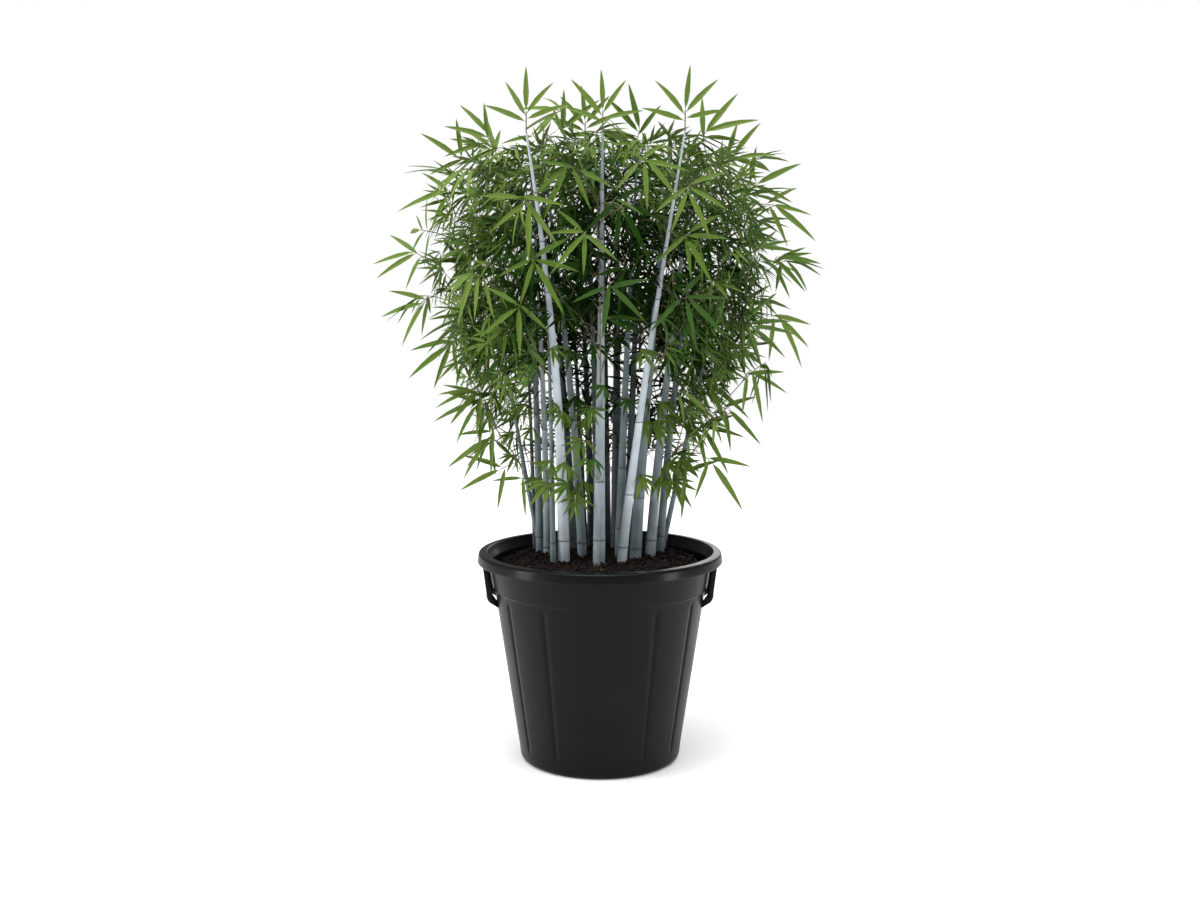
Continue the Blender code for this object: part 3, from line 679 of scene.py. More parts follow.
def make_culm(cane):
    """Draws a cane up from a circle, ring by ring, and notes where its scars and its bloom lie."""
    rings = [(cane.foot.z - culm_sunk, 1.0, 0.2, 0.3)]
    for joint in cane.joints:
        for offset, girth, scar, bloom in joint_rings:
            if rings[-1][0] + 0.0004 < joint + offset < cane.tip.z - 0.002:
                rings.append((joint + offset, girth, scar, bloom))
    rings.append((cane.tip.z, 1.0, 0.0, 0.1))
    height, girth = rings[0][:2]
    here, radius = cane.centre(height), cane.radius_at(height) * girth
    foot = {"vertices": culm_sides, "radius": radius, "fill_type": "NGON"}
    culm = open_shape(bpy.ops.mesh.primitive_circle_add, **foot)
    culm.name = culm.data.name = f"{cane.name}_cane"
    bpy.ops.transform.translate(value=here)
    for height, girth, _scar, _bloom in rings[1:]:
        step = cane.centre(height) - here
        grown = cane.radius_at(height) * girth / radius
        bpy.ops.mesh.extrude_region_move(TRANSFORM_OT_translate={"value": step})
        here, radius = here + step, radius * grown
        bpy.ops.transform.resize(value=(grown, grown, 1), center_override=here)
    close_shape()
    paint_by_ring(culm, rings)
    shade(culm, 60)
    return culm


def paint_by_ring(culm, rings):
    """Point attributes for the skin: the scars, the bloom, and how far up the cane a point is."""
    heights = np.array([ring[0] for ring in rings])
    points = np.array([v.co for v in culm.data.vertices])
    at = np.abs(points[:, 2, None] - heights[None, :]).argmin(axis=1)
    rise = (points[:, 2] - heights[0]) / (heights[-1] - heights[0])
    scars, blooms = (np.array([ring[i] for ring in rings])[at] for i in (2, 3))
    for name, values in (("scar", scars), ("bloom", blooms), ("rise", rise)):
        layer = culm.data.attributes.new(name, "FLOAT", "POINT")
        layer.data.foreach_set("value", values.astype(np.float32))


def add_attribute(tree, name):
    return add_node(tree, "ShaderNodeAttribute", name, attribute_name=name).outputs["Fac"]


def add_mix(tree, label, factor, below, above):
    """A colour mix. Each colour is a plain colour or a socket."""
    mix = add_node(tree, "ShaderNodeMix", label, data_type="RGBA")
    tree.links.new(factor, mix.inputs[0])
    for socket, colour in ((mix.inputs[6], below), (mix.inputs[7], above)):
        if isinstance(colour, tuple):
            socket.default_value = (*colour, 1.0)
        else:
            tree.links.new(colour, socket)
    return mix.outputs[2]


def add_math(tree, label, operation, first, second):
    node = add_node(tree, "ShaderNodeMath", label, operation=operation)
    for socket, value in zip(node.inputs, (first, second)):
        if isinstance(value, (int, float)):
            socket.default_value = value
        else:
            tree.links.new(value, socket)
    return node.outputs["Value"]


def make_streak_group():
    """Streaks along an upright cane, with the smudges where its bloom is rubbed."""
    group, ends_in, ends_out = new_group(
        "cane_streaks",
        [("Fineness", "NodeSocketFloat", 90.0), ("Length", "NodeSocketFloat", 0.06)],
        [("Streaks", "NodeSocketFloat"), ("Smudges", "NodeSocketFloat")],
    )
    place = add_node(group, "ShaderNodeTexCoord", "place")
    squeeze = add_node(group, "ShaderNodeCombineXYZ", "along the cane")
    set_inputs(squeeze, X=1.0, Y=1.0)
    drawn = add_node(group, "ShaderNodeVectorMath", "drawn out", operation="MULTIPLY")
    streaks = add_node(group, "ShaderNodeTexNoise", "streaks")
    set_inputs(streaks, Detail=3.0)
    smudges = add_node(group, "ShaderNodeTexNoise", "smudges")
    set_inputs(smudges, Scale=28.0, Detail=5.0)
    link_all(
        group,
        (ends_in.outputs["Length"], squeeze.inputs["Z"]),
        (place.outputs["Object"], drawn.inputs[0]),
        (squeeze.outputs["Vector"], drawn.inputs[1]),
        (drawn.outputs["Vector"], streaks.inputs["Vector"]),
        (ends_in.outputs["Fineness"], streaks.inputs["Scale"]),
        (place.outputs["Object"], smudges.inputs["Vector"]),
        (streaks.outputs["Fac"], ends_out.inputs["Streaks"]),
        (smudges.outputs["Fac"], ends_out.inputs["Smudges"]),
    )
    return group


streak_group = make_streak_group()


def make_cane_skin(name, bare, bloomed, cover):
    """Cane skin: a green or grey wall under a chalky bloom, and a dark scar round each joint."""
    made, tree, shader = new_material(name, 0.6, 0.35)
    marks = add_node(tree, "ShaderNodeGroup", "streaks", node_tree=streak_group)
    streaks, smudges = marks.outputs["Streaks"], marks.outputs["Smudges"]
    streaky = add_math(tree, "streaks and smudges", "ADD", streaks, smudges)
    patchy = add_range(tree, "patches", streaky, 0.75, 1.20, -0.45, 0.30)
    dusted = add_math(tree, "bloom", "ADD", add_attribute(tree, "bloom"), patchy)
    shared = add_range(tree, "bloom cover", dusted, 0.0, 1.0, cover, 1.0)
    skin = add_mix(tree, "bloom on wall", shared, bare, bloomed)
    scar = add_range(tree, "scar", add_attribute(tree, "scar"), 0.25, 0.85, 0.0, 1.0)
    colour = add_mix(tree, "scars", scar, skin, (0.040, 0.040, 0.040))
    dulled = add_range(tree, "dull bloom", shared, 0.0, 1.0, 0.42, 0.72)
    link_all(tree, (colour, shader.inputs["Base Color"]), (dulled, shader.inputs["Roughness"]))
    add_bump(tree, shader, streaks, 0.0004, 0.35)
    return made


# The four skins grade darker towards the back of the clump: partly culms that differ in age and bloom, and
# partly painted shade on the culms that stand further back under the crown.
cane_skins = {
    "chalk": make_cane_skin("chalky_cane", (0.15, 0.19, 0.20), (0.58, 0.65, 0.70), 0.56),
    "pale": make_cane_skin("pale_cane", (0.09, 0.12, 0.12), (0.35, 0.40, 0.44), 0.42),
    "mist": make_cane_skin("misty_cane", (0.060, 0.085, 0.070), (0.20, 0.25, 0.28), 0.36),
    "dull": make_cane_skin("dull_cane", (0.018, 0.025, 0.022), (0.080, 0.098, 0.115), 0.30),
}
skinned_culms = {
    "chalk": ("culm_front_left", "culm_front_right"),
    "pale": ("culm_front_centre", "culm_left_pale", "culm_right"),
    "mist": ("culm_left", "culm_slim_left", "culm_inner_left", "culm_inner_right", "culm_right_grey",
             "culm_far_right", "culm_far_left", "culm_second_right"),
}


def skin_of(name):
    for skin, names in skinned_culms.items():
        if name in names:
            return cane_skins[skin]
    return cane_skins["dull"]


canes = {name: Cane(name) for name in culm_names}
for cane in canes.values():
    finish_piece(make_culm(cane), [skin_of(cane.name)], "culm", cane.name)


# ---------------------------------------------------------------- the buds
# A small brown bud stands at each joint of the bare culms, on one side and the other by turns. Each is a
# pointed scale pressed against the cane.

bud_length = 0.0075
bud_width = 0.0042
bud_turn = math.radians(171)
bud_limit = 0.80
bud_seat = 0.0012
bud_cane = 0.009


def model_bud():
    bud = open_shape(bpy.ops.mesh.primitive_cone_add, vertices=6, radius1=0.5, radius2=0.30, depth=0.5)
    bpy.ops.transform.translate(value=(0, 0, 0.25))
    select_points(bud, lambda p: p.z > 0.4)
    bpy.ops.mesh.extrude_region_move(TRANSFORM_OT_translate={"value": (-0.10, 0, 0.45)})
    bpy.ops.mesh.merge(type="CENTER")
    select_points(bud, lambda p: p.z < 0.01)
    bpy.ops.transform.resize(value=(0.7, 0.7, 1), center_override=(0, 0, 0))
    bpy.ops.mesh.select_all(action="SELECT")
    bpy.ops.mesh.quads_convert_to_tris()
    bpy.ops.mesh.normals_make_consistent(inside=False)
    return take_shape(bud)


def lay_buds(points, faces):
    """A bud at each joint of each cane, up to where the leaves hide them."""
    shapes = []
    for number, cane in enumerate(canes.values()):
        for k, joint in enumerate(cane.joints):
            if joint > bud_limit:
                break
            turn = number * 2.1 + k * bud_turn
            size = 0.75 + 0.5 * math.sin(number * 3.7 + k * 5.1) ** 2
            thick = cane.radius_at(joint)
            scale = np.array((bud_width * 0.6, bud_width, bud_length)) * size * min(thick / bud_cane, 1.0)
            spin = np.array(Matrix.Rotation(turn, 3, "Z"))
            out = Vector((math.cos(turn), math.sin(turn), 0)) * (thick * 1.02)
            place = cane.centre(joint) + out + Vector((0, 0, bud_seat))
            shapes.append(((points * scale) @ spin.T + np.array(place), faces, 0))
    return shapes


culm_buds = joined_mesh("culm_buds", lay_buds(*model_bud()))
shade(culm_buds, 40)
bud_scale = make_earth("bud_scale", (0.020, 0.013, 0.009), (0.085, 0.055, 0.035), 0.7)
finish_piece(culm_buds, [bud_scale], "culm")


# ---------------------------------------------------------------- the twigs
# Thin tan branches leave the culms inside the crown and fork again and again into the fine twigs that end
# in a fan of leaves. They fill a dome that is shallower in front, open low down in the middle.

crown_middle, crown_top, crown_foot = 1.00, 1.375, 0.49
crown_radius = 0.458
front_depth, back_depth = 0.64, 0.90
open_level = 0.88
open_half_width, open_slope, open_widest = 0.100, 0.35, 0.170
open_radius = 0.185
thin_level, thinning = 0.82, 1.5
sky_level, sky_thinning = 1.10, 0.25
left_thin_edge, left_thinning = -0.27, 1.25
crown_tiers = {
    "low": (0.72, 0.285, (-25, 20, 155, 205), 0.13),
    "mid": (0.94, 0.300, (-90, -52, -18, 18, 52, 90, 128, 162, 198, 232), 0.16),
    "high": (1.15, 0.250, (-90, -40, 5, 48, 90, 132, 175, 220), 0.15),
}
sprigs = {
    "sprig_left": ("culm_inner_left", 0.560, (-0.048, -0.090, 0.545)),
    "sprig_centre": ("culm_front_centre", 0.655, (-0.040, -0.118, 0.668)),
    "sprig_right": ("culm_inner_right", 0.580, (0.082, -0.070, 0.590)),
    "sprig_far_right": ("culm_right", 0.615, (0.168, -0.020, 0.625)),
}
front_culms = ("culm_front_left", "culm_front_centre", "culm_front_right")
tip_culms = (*front_culms, "culm_centre", "culm_back_left", "culm_back_right")
crown_seed = 11
spray_tries = 40000
main_spacing, main_margin = 0.103, 0.072
fine_spacing, fine_margin = 0.0310, 0.128
back_deeper = 0.08
top_deeper = 1.2
deep_start, deep_reach = 0.26, 0.25
stem_girth = (0.0014, 0.0011)
main_girth = (0.0011, 0.0008)
fine_girth = (0.0009, 0.0005)
twig_sides = 5


def crown_reach(height):
    """How far the crown reaches to each side at a height."""
    if height >= crown_middle:
        rise = min((height - crown_middle) / (crown_top - crown_middle), 1.0)
        return crown_radius * math.sqrt(max(1 - rise**2.6, 0.0))
    fall = min((crown_middle - height) / (crown_middle - crown_foot), 1.0)
    return crown_radius * (1 - 0.5 * fall**1.6)


def depth_share(y):
    return front_depth if y < 0 else back_depth


def from_axis(point):
    """Distance from the axis in the crown's own plan, where its outline is a circle."""
    return math.hypot(point.x, point.y / depth_share(point.y))


def crown_point(distance, angle, height):
    y = distance * math.sin(angle)
    return Vector((distance * math.cos(angle), y * depth_share(y), height))


def in_open_zone(point):
    """Below the crown the culms stand clear, seen from the front and from behind."""
    below = open_level - point.z
    if below < 0:
        return False
    half_width = min(open_half_width + open_slope * below, open_widest)
    return abs(point.x) < half_width or from_axis(point) < open_radius


def inside_crown(point, margin=0.0):
    if not crown_foot + margin < point.z < crown_top - margin:
        return False
    return from_axis(point) < crown_reach(point.z) - margin and not in_open_zone(point)


def spray_points(rng, spacing, margin, found):
    """Seeded places for sprays all through the crown, wider apart deep inside it."""
    taken = np.array(found).reshape(-1, 3)
    fresh = []
    for _ in range(spray_tries):
        height = rng.uniform(crown_foot, crown_top)
        reach = crown_reach(height)
        distance = reach * math.sqrt(rng.random())
        point = crown_point(distance, rng.uniform(0, 2 * math.pi), height)
        if not inside_crown(point, margin):
            continue
        behind = back_deeper if point.y > 0 else 0.0
        depth = min(reach - distance, (crown_top - height) * top_deeper) + behind
        gap = spacing * (1.0 + max(depth - deep_start, 0.0) / deep_reach)
        gap *= 1.0 + thinning * max(thin_level - height, 0.0) / (thin_level - crown_foot)
        gap *= 1.0 + sky_thinning * max(height - sky_level, 0.0) / (crown_top - sky_level)
        if point.x < left_thin_edge:
            gap *= left_thinning
        if len(taken) and np.linalg.norm(taken - np.array(point), axis=1).min() <= gap:
            continue
        taken = np.vstack((taken, np.array(point)))
        fresh.append(point)
    return fresh


def curve_points(start, bend, end, steps):
    """Points of a quadratic curve."""
    found = []
    for k in range(steps + 1):
        t = k / steps
        found.append(start * (1 - t) ** 2 + bend * (2 * t * (1 - t)) + end * t**2)
    return found


def girths(ends, count):
    return [ends[0] + (ends[1] - ends[0]) * i / (count - 1) for i in range(count)]


def twig_shape(path, radii):
    """A closed tube along a path, as (points, triangles, finish)."""
    points, faces = [], []
    across = (path[1] - path[0]).orthogonal().normalized()
    last = len(path) - 1
    for i, here in enumerate(path):
        along = (path[min(i + 1, last)] - path[max(i - 1, 0)]).normalized()
        across = (across - along * across.dot(along)).normalized()
        other = along.cross(across)
        for k in range(twig_sides):
            angle = 2 * math.pi * k / twig_sides
            points.append(here + (across * math.cos(angle) + other * math.sin(angle)) * radii[i])
    for i in range(last):
        for k in range(twig_sides):
            a, b = i * twig_sides + k, i * twig_sides + (k + 1) % twig_sides
            faces += [(a, b, b + twig_sides), (a, b + twig_sides, a + twig_sides)]
    end = last * twig_sides
    for k in range(1, twig_sides - 1):
        faces += [(0, k + 1, k), (end, end + k, end + k + 1)]
    return np.array(points), np.array(faces), 0


stem_seat = 0.8
stem_out, stem_up = 0.30, 0.45
tip_seat, tip_lengths = 0.004, (0.010, 0.042)
cane_over_stem = 0.08
heading_pull = 1.6
joint_nearest = 0.012
twig_bow = 0.4
long_twig = 0.06


class Bough:
    """One mass of the crown: its stem, the places a twig can leave from, and its sprays."""

    def __init__(self, name, middle, start_height, cane=None, kind="mass"):
        self.name = name
        self.middle = middle
        self.kind = kind
        self.places = []
        self.headings = []
        self.twigs = []
        self.sprays = []
        if cane is None:
            able = [c for c in canes.values() if c.tip.z > start_height + cane_over_stem]
            cane = min(able, key=lambda c: (c.centre(start_height) - middle).length)
        self.stem = self.leave_cane(cane, start_height)
        self.add_path(self.stem, stem_girth)

    def leave_cane(self, cane, height):
        if self.kind == "top":
            start = cane.tip - Vector((0, 0, tip_seat))
            return [start] + [start + Vector((0, 0, length)) for length in tip_lengths]
        centre = cane.centre(height)
        out = self.middle - centre
        out.z = 0
        out.normalize()
        start = centre + out * (cane.radius_at(height) * stem_seat)
        reach = (self.middle - start).length
        bend = start + out * (stem_out * reach) + Vector((0, 0, stem_up * reach))
        return curve_points(start, bend, self.middle, 7)

    def add_path(self, path, girth):
        self.twigs.append(twig_shape(path, girths(girth, len(path))))
        for i in range(1, len(path)):
            self.places.append(path[i])
            self.headings.append((path[min(i + 1, len(path) - 1)] - path[i - 1]).normalized())

    def best_joint(self, target):
        """The place that a new twig leaves most naturally: near, and heading the right way."""
        places, headings = np.array(self.places), np.array(self.headings)
        ways = np.array(target) - places
        lengths = np.linalg.norm(ways, axis=1)
        cost = lengths * (heading_pull - (ways * headings).sum(axis=1) / np.maximum(lengths, 1e-6))
        cost[lengths < joint_nearest] = np.inf
        best = int(cost.argmin())
        return self.places[best], self.headings[best]

    def grow_twig(self, target, direction, girth):
        joint, heading = self.best_joint(target)
        reach = (target - joint).length
        bend = (joint + heading * (twig_bow * reach) + target - direction * (twig_bow * reach)) / 2
        path = curve_points(joint, bend, target, 4 if reach > long_twig else 3)
        self.add_path(path, girth)
        return path


def plan_boughs():
    boughs = []
    for name in tip_culms:
        cane = canes[name]
        middle = cane.tip + Vector((0, 0, 0.03))
        boughs.append(Bough(f"foliage_top_{name[5:]}", middle, cane.tip.z, cane, "top"))
    for name, (culm, height, middle) in sprigs.items():
        boughs.append(Bough(f"foliage_{name}", Vector(middle), height, canes[culm], "sprig"))
    for tier, (height, distance, azimuths, drop) in crown_tiers.items():
        for number, degrees in enumerate(azimuths, start=1):
            middle = crown_point(distance, math.radians(degrees), height)
            boughs.append(Bough(f"foliage_{tier}_{number}", middle, height - drop))
    return boughs


skin_fans = 0.5
fan_turn = 1.9
middle_tilt, top_tilt, foot_tilt = -8, 78, 50
skin_outward = 0.45
deep_across, deep_roll = 0.35, 0.7


def squared(facing, direction):
    """A facing brought square to a direction."""
    return (facing - direction * facing.dot(direction)).normalized()


def seen_way(degrees, y=0.0):
    """A direction by its angle as seen from the front, with 0 to the right and 90 up."""
    return Vector((math.cos(math.radians(degrees)), y, math.sin(math.radians(degrees))))


def spray_setting(point, rng):
    """A spray's direction and facing. Skin fans lie along the crown, and the others point out of it."""
    out = Vector((point.x, point.y, 0)).normalized()
    if point.z >= crown_middle:
        rise = (point.z - crown_middle) / (crown_top - crown_middle)
        elevation = math.radians(middle_tilt + top_tilt * rise)
    else:
        fall = (crown_middle - point.z) / (crown_middle - crown_foot)
        elevation = math.radians(middle_tilt - foot_tilt * fall)
    out = out * math.cos(elevation) + Vector((0, 0, math.sin(elevation)))
    around = out.cross(Vector((0, 0, 1))).normalized()
    turn = rng.uniform(-fan_turn, fan_turn)
    tangent = around * math.sin(turn) - around.cross(out).normalized() * math.cos(turn)
    if rng.random() < skin_fans:
        direction = (out * skin_outward + tangent).normalized()
        facing = out
    else:
        direction = (out + tangent * deep_across).normalized()
        facing = around.cross(out) * math.cos(turn * deep_roll) + around * math.sin(turn * deep_roll)
        if facing.z < 0:
            facing.negate()
    return direction, squared(facing, direction)


# the sprays that lead at the crown's sides and on its front: x, height, angle seen from the front, leaves
lead_sides = (
    (-0.215, 1.262, 145, 4),
    (-0.075, 1.272, 62, 4),
    (0.078, 1.272, 115, 4),
    (0.205, 1.268, 42, 4),
    (-0.368, 1.036, 200, 4),
    (-0.276, 1.217, 150, 3),
    (-0.295, 1.156, 190, 3),
    (0.264, 1.217, 30, 4),
    (0.306, 1.166, 35, 3),
    (0.343, 1.127, 340, 4),
    (0.350, 1.026, 350, 5),
    (0.356, 0.907, 312, 4),
    (-0.350, 0.935, 217, 4),
    (-0.298, 0.852, 235, 4),
    (-0.249, 0.737, 218, 4),
    (-0.200, 0.602, 210, 3),
    (-0.155, 0.584, 233, 2),
    (0.303, 0.802, 311, 4),
    (0.255, 0.725, 322, 3),
    (0.224, 0.617, 308, 3),
    (0.171, 0.590, 324, 2),
    (0.215, 0.780, 316, 4),
    (0.200, 0.695, 326, 4),
    (-0.215, 0.668, 226, 4),
)
lead_fronts = (
    (-0.122, 1.015, 300, 5),
    (-0.130, 1.120, 262, 5),
    (-0.024, 1.067, 228, 5),
    (0.040, 1.110, 300, 5),
    (0.156, 1.056, 312, 5),
    (0.161, 1.142, 300, 5),
    (0.161, 0.947, 322, 5),
    (0.018, 0.974, 285, 4),
    (-0.150, 0.930, 240, 4),
    (-0.060, 1.190, 250, 5),
    (0.085, 1.200, 310, 5),
)
lead_leaf = (0.104, 0.118)
front_share = 0.90
side_forward = 0.03
lead_sink = 0.070


def lead_place(x, z, front):
    """A leading spray's place: at the crown's side, or on the front of it."""
    if not front:
        return Vector((x, -side_forward, z))
    reach = max(crown_reach(z) - lead_sink, 0.0)
    return Vector((x, -math.sqrt(max(reach**2 - x**2, 0.0)) * front_depth, z))


# a fan of leaves on a twig's end
Spray = namedtuple("Spray", "path direction facing length leaves kind")
main_leaf, fine_leaf, tip_leaf, sprig_leaf = (0.080, 0.104), (0.042, 0.072), 0.094, 0.052
main_leaves, fine_leaves, tip_leaves, sprig_leaves = (5, 6), (5, 7), 5, 6
crown_rng = random.Random(crown_seed)
main_points = spray_points(crown_rng, main_spacing, main_margin, [])
fine_points = spray_points(crown_rng, fine_spacing, fine_margin, main_points)
boughs = plan_boughs()
bearing = [bough for bough in boughs if bough.kind != "sprig"]
for points, girth, lengths, leaves, kind in (
    (main_points, main_girth, main_leaf, main_leaves, "main"),
    (fine_points, fine_girth, fine_leaf, fine_leaves, "fine"),
):
    shares = {bough.name: [] for bough in boughs}
    for point in points:
        nearest = min(bearing, key=lambda bough: (bough.middle - point).length)
        shares[nearest.name].append(point)
    for bough in bearing:
        for target in sorted(shares[bough.name], key=lambda p: (p - bough.stem[-1]).length):
            direction, facing = spray_setting(target, crown_rng)
            path = bough.grow_twig(target, direction, girth)
            length, count = crown_rng.uniform(*lengths), crown_rng.randint(*leaves)
            bough.sprays.append(Spray(path, direction, facing, length, count, kind))
lead_rng = random.Random(crown_seed + 2)
for front, leads in ((False, lead_sides), (True, lead_fronts)):
    for x, z, degrees, leaves in leads:
        target = lead_place(x, z, front)
        direction = seen_way(degrees)
        facing = squared(Vector((0.25 * direction.x, -1, 0.25)).normalized(), direction)
        bough = min(bearing, key=lambda bough: (bough.middle - target).length)
        path = bough.grow_twig(target, direction, main_girth)
        length = lead_rng.uniform(*lead_leaf) * (front_share if front else 1.0)
        kind = "front" if front else "lead"
        bough.sprays.append(Spray(path, direction, facing, length, leaves, kind))
for bough in boughs:
    if bough.kind == "top":
        facing = Vector((bough.middle.x * 0.5, -1, 0)).normalized()
        bough.sprays.append(Spray(bough.stem, Vector((0, 0, 1)), facing, tip_leaf, tip_leaves, "top"))
    if bough.kind == "sprig":
        hang = ((bough.stem[-1] - bough.stem[-2]).normalized() + Vector((0, -0.3, -0.9))).normalized()
        facing = squared(Vector((0, -0.8, 0.5)).normalized(), hang)
        bough.sprays.append(Spray(bough.stem, hang, facing, sprig_leaf, sprig_leaves, "sprig"))


cane_over_shoot = 0.1
back_cost = 0.4
shoot_rise, shoot_least, shoot_climb = 0.015, 0.004, 0.055
shoot_out, shoot_up = 0.012, 0.35
shoot_forward, shoot_lean = 0.035, 0.35
shoot_leaves, shoot_size = 5, 1.12


def cane_in_view(x, height):
    """The culm that stands in front at a place across the clump."""
    able = [c for c in canes.values() if c.tip.z > height + cane_over_shoot]
    return min(able, key=lambda c: abs(c.centre(height).x - x) + back_cost * max(c.centre(height).y, 0))


def grow_shoot(cane, target, direction, facing, length, leaves, kind):
    """A short leafy shoot from a culm's joint, kept with the sprigs."""
    joint = cane.joint_near(target.z - shoot_rise)
    if kind == "shoot":
        target.z = min(max(target.z, joint + shoot_least), joint + shoot_climb)
    centre = cane.centre(joint)
    out = Vector((target.x - centre.x, target.y - centre.y, 0)).normalized()
    start = centre + out * (cane.radius_at(joint) * stem_seat)
    bend = start + out * shoot_out + Vector((0, 0, shoot_up * (target - start).length))
    path = curve_points(start, bend, target, 4)
    sprig_home.twigs.append(twig_shape(path, girths(fine_girth, len(path))))
    sprig_home.sprays.append(Spray(path, direction, squared(facing, direction), length, leaves, kind))


# the shoots low down on the culms in front: x, height, angle seen from the front, leaf length
front_shoots = (
    (-0.058, 0.606, 250, 0.034),
    (-0.055, 0.655, 190, 0.034),
    (-0.010, 0.665, 260, 0.032),
    (-0.020, 0.734, 300, 0.038),
    (-0.078, 0.737, 195, 0.034),
    (-0.060, 0.558, 208, 0.050),
    (-0.104, 0.536, 222, 0.052),
    (-0.033, 0.580, 285, 0.042),
    (-0.045, 0.560, 265, 0.038),
    (0.078, 0.600, 280, 0.040),
    (0.117, 0.738, 322, 0.048),
    (0.107, 0.655, 320, 0.052),
    (0.162, 0.689, 318, 0.054),
    (0.160, 0.614, 320, 0.056),
    (0.152, 0.560, 314, 0.058),
    (0.098, 0.765, 200, 0.036),
    (-0.166, 0.695, 215, 0.036),
    (-0.140, 0.677, 240, 0.034),
    (-0.130, 0.790, 220, 0.044),
    (-0.092, 0.800, 300, 0.036),
    (0.010, 0.790, 240, 0.036),
    (0.055, 0.700, 250, 0.034),
    (-0.070, 0.700, 240, 0.036),
    (-0.035, 0.700, 290, 0.036),
    (-0.025, 0.635, 230, 0.034),
    (-0.068, 0.630, 265, 0.036),
    (-0.015, 0.700, 200, 0.034),
    (-0.050, 0.765, 270, 0.038),
    (-0.110, 0.835, 235, 0.046),
    (-0.060, 0.845, 260, 0.044),
    (-0.012, 0.835, 285, 0.042),
    (0.036, 0.830, 250, 0.040),
    (0.078, 0.850, 300, 0.046),
    (-0.150, 0.740, 225, 0.044),
    (-0.178, 0.640, 215, 0.040),
    (0.135, 0.700, 300, 0.054),
    (0.130, 0.630, 330, 0.050),
    (0.185, 0.745, 310, 0.056),
    (0.140, 0.790, 300, 0.054),
    (0.090, 0.700, 290, 0.044),
    (0.175, 0.640, 335, 0.050),
    (0.120, 0.585, 300, 0.046),
    (-0.095, 0.655, 230, 0.044),
    (-0.120, 0.610, 215, 0.046),
)
inner_shoots = 340
inner_low, inner_high = 0.62, 0.92
inner_width, inner_back = 0.140, 0.02
inner_turns, inner_tilts = (0.12, 0.88), (-0.5, 0.3)
inner_stand = (0.03, 0.07)
inner_leaf, inner_leaves = (0.050, 0.075), 6
sprig_home = next(bough for bough in boughs if bough.kind == "sprig")
for x, height, degrees, length in front_shoots:
    cane = cane_in_view(x, height)
    target = Vector((x, cane.centre(height).y - shoot_forward, height))
    direction = seen_way(degrees, -shoot_lean).normalized()
    facing = Vector((0, -0.8, 0.6))
    grow_shoot(cane, target, direction, facing, length * shoot_size, shoot_leaves, "shoot")
feet = {name: canes[name].foot for name in culm_names}
inner_culms = [n for n in culm_names if feet[n].y > inner_back and abs(feet[n].x) < inner_width]
for _ in range(inner_shoots):
    height = inner_high - (inner_high - inner_low) * crown_rng.random() ** 2
    cane = canes[crown_rng.choice(inner_culms)]
    turn = crown_rng.uniform(*inner_turns) * math.pi
    tilt = crown_rng.uniform(*inner_tilts)
    direction = Vector((math.cos(turn), math.sin(turn) * 0.6, tilt)).normalized()
    stand = Vector((math.cos(turn), math.sin(turn), 0)) * crown_rng.uniform(*inner_stand)
    length = crown_rng.uniform(*inner_leaf)
    facing = Vector((0, -0.6, 0.8))
    grow_shoot(cane, cane.centre(height) + stand, direction, facing, length, inner_leaves, "inner")


def make_bark(name, dark, light):
    made, tree, shader = new_material(name, 0.7, 0.3)
    marks = add_variation(tree, 45.0, 700.0, 0.4)
    colour = add_ramp(tree, "weathering", marks.outputs["Amount"], [(0.35, dark), (0.65, light)])
    tree.links.new(colour, shader.inputs["Base Color"])
    add_bump(tree, shader, marks.outputs["Relief"], 0.0003, 0.5)
    return made


twig_bark = make_bark("twig_bark", (0.050, 0.045, 0.022), (0.17, 0.145, 0.080))
crown_parts = {
    part: [bough for bough in boughs if bough.name.startswith(f"foliage_{part}")]
    for part in ("low", "mid", "high", "top", "sprig")
}
for part, members in crown_parts.items():
    twigs = joined_mesh(f"twigs_{part}", [twig for bough in members for twig in bough.twigs])
    shade(twigs, 60)
    finish_piece(twigs, [twig_bark], "foliage", *(bough.name for bough in members))


# ---------------------------------------------------------------- the leaves
# Bamboo leaves: a short stalk and a long lance-shaped blade folded lightly along its midrib, fresh green
# above and paler below, each spray's green made lighter or darker with painted light and shade. They stand
# in flat fans at the twigs' ends, and arch over under their own weight.

# each row across a blade: its place from root to tip, width and fold
broad_rows = (
    (0.000, 0.10, 0.00),
    (0.200, 1.10, 0.18),
    (0.520, 1.40, 0.20),
    (1.000, 0.00, 0.00),
)
small_rows = (
    (0.000, 0.08, 0.00),
    (0.220, 0.84, 0.14),
    (0.520, 0.94, 0.14),
    (1.000, 0.00, 0.00),
)
blade_rows = (
    (0.000, 0.05, 0.00),
    (0.050, 0.09, 0.02),
    (0.180, 0.74, 0.14),
    (0.400, 1.00, 0.16),
    (0.660, 0.74, 0.12),
    (0.870, 0.36, 0.05),
    (1.000, 0.00, 0.00),
)
blade_width = 0.118
blade_thickness = 0.035
fan_spread = math.radians(72)
fan_shares = {"top": 0.95, "lead": 0.72, "front": 1.25, "shoot": 0.80}
outer_shorter = {"top": 0.04, "lead": 0.22, "front": 0.18}
leaf_spacing, spaced_leaf = 0.0060, 0.12
leaf_turns, lead_turns = 0.12, 0.18
leaf_sizes, lead_sizes = (0.88, 1.06), (0.82, 1.06)
leaf_droop, droop_range = 0.16, (0.5, 1.5)
leaf_tilt, leaf_roll = 0.12, 0.35
leaf_cuts = (1.0, 0.86, 0.72)
midrib_places = (0.25, 0.5, 0.75, 1.0)
leaf_clear = 0.0035
front_clear = 0.013
tip_rise = 0.012


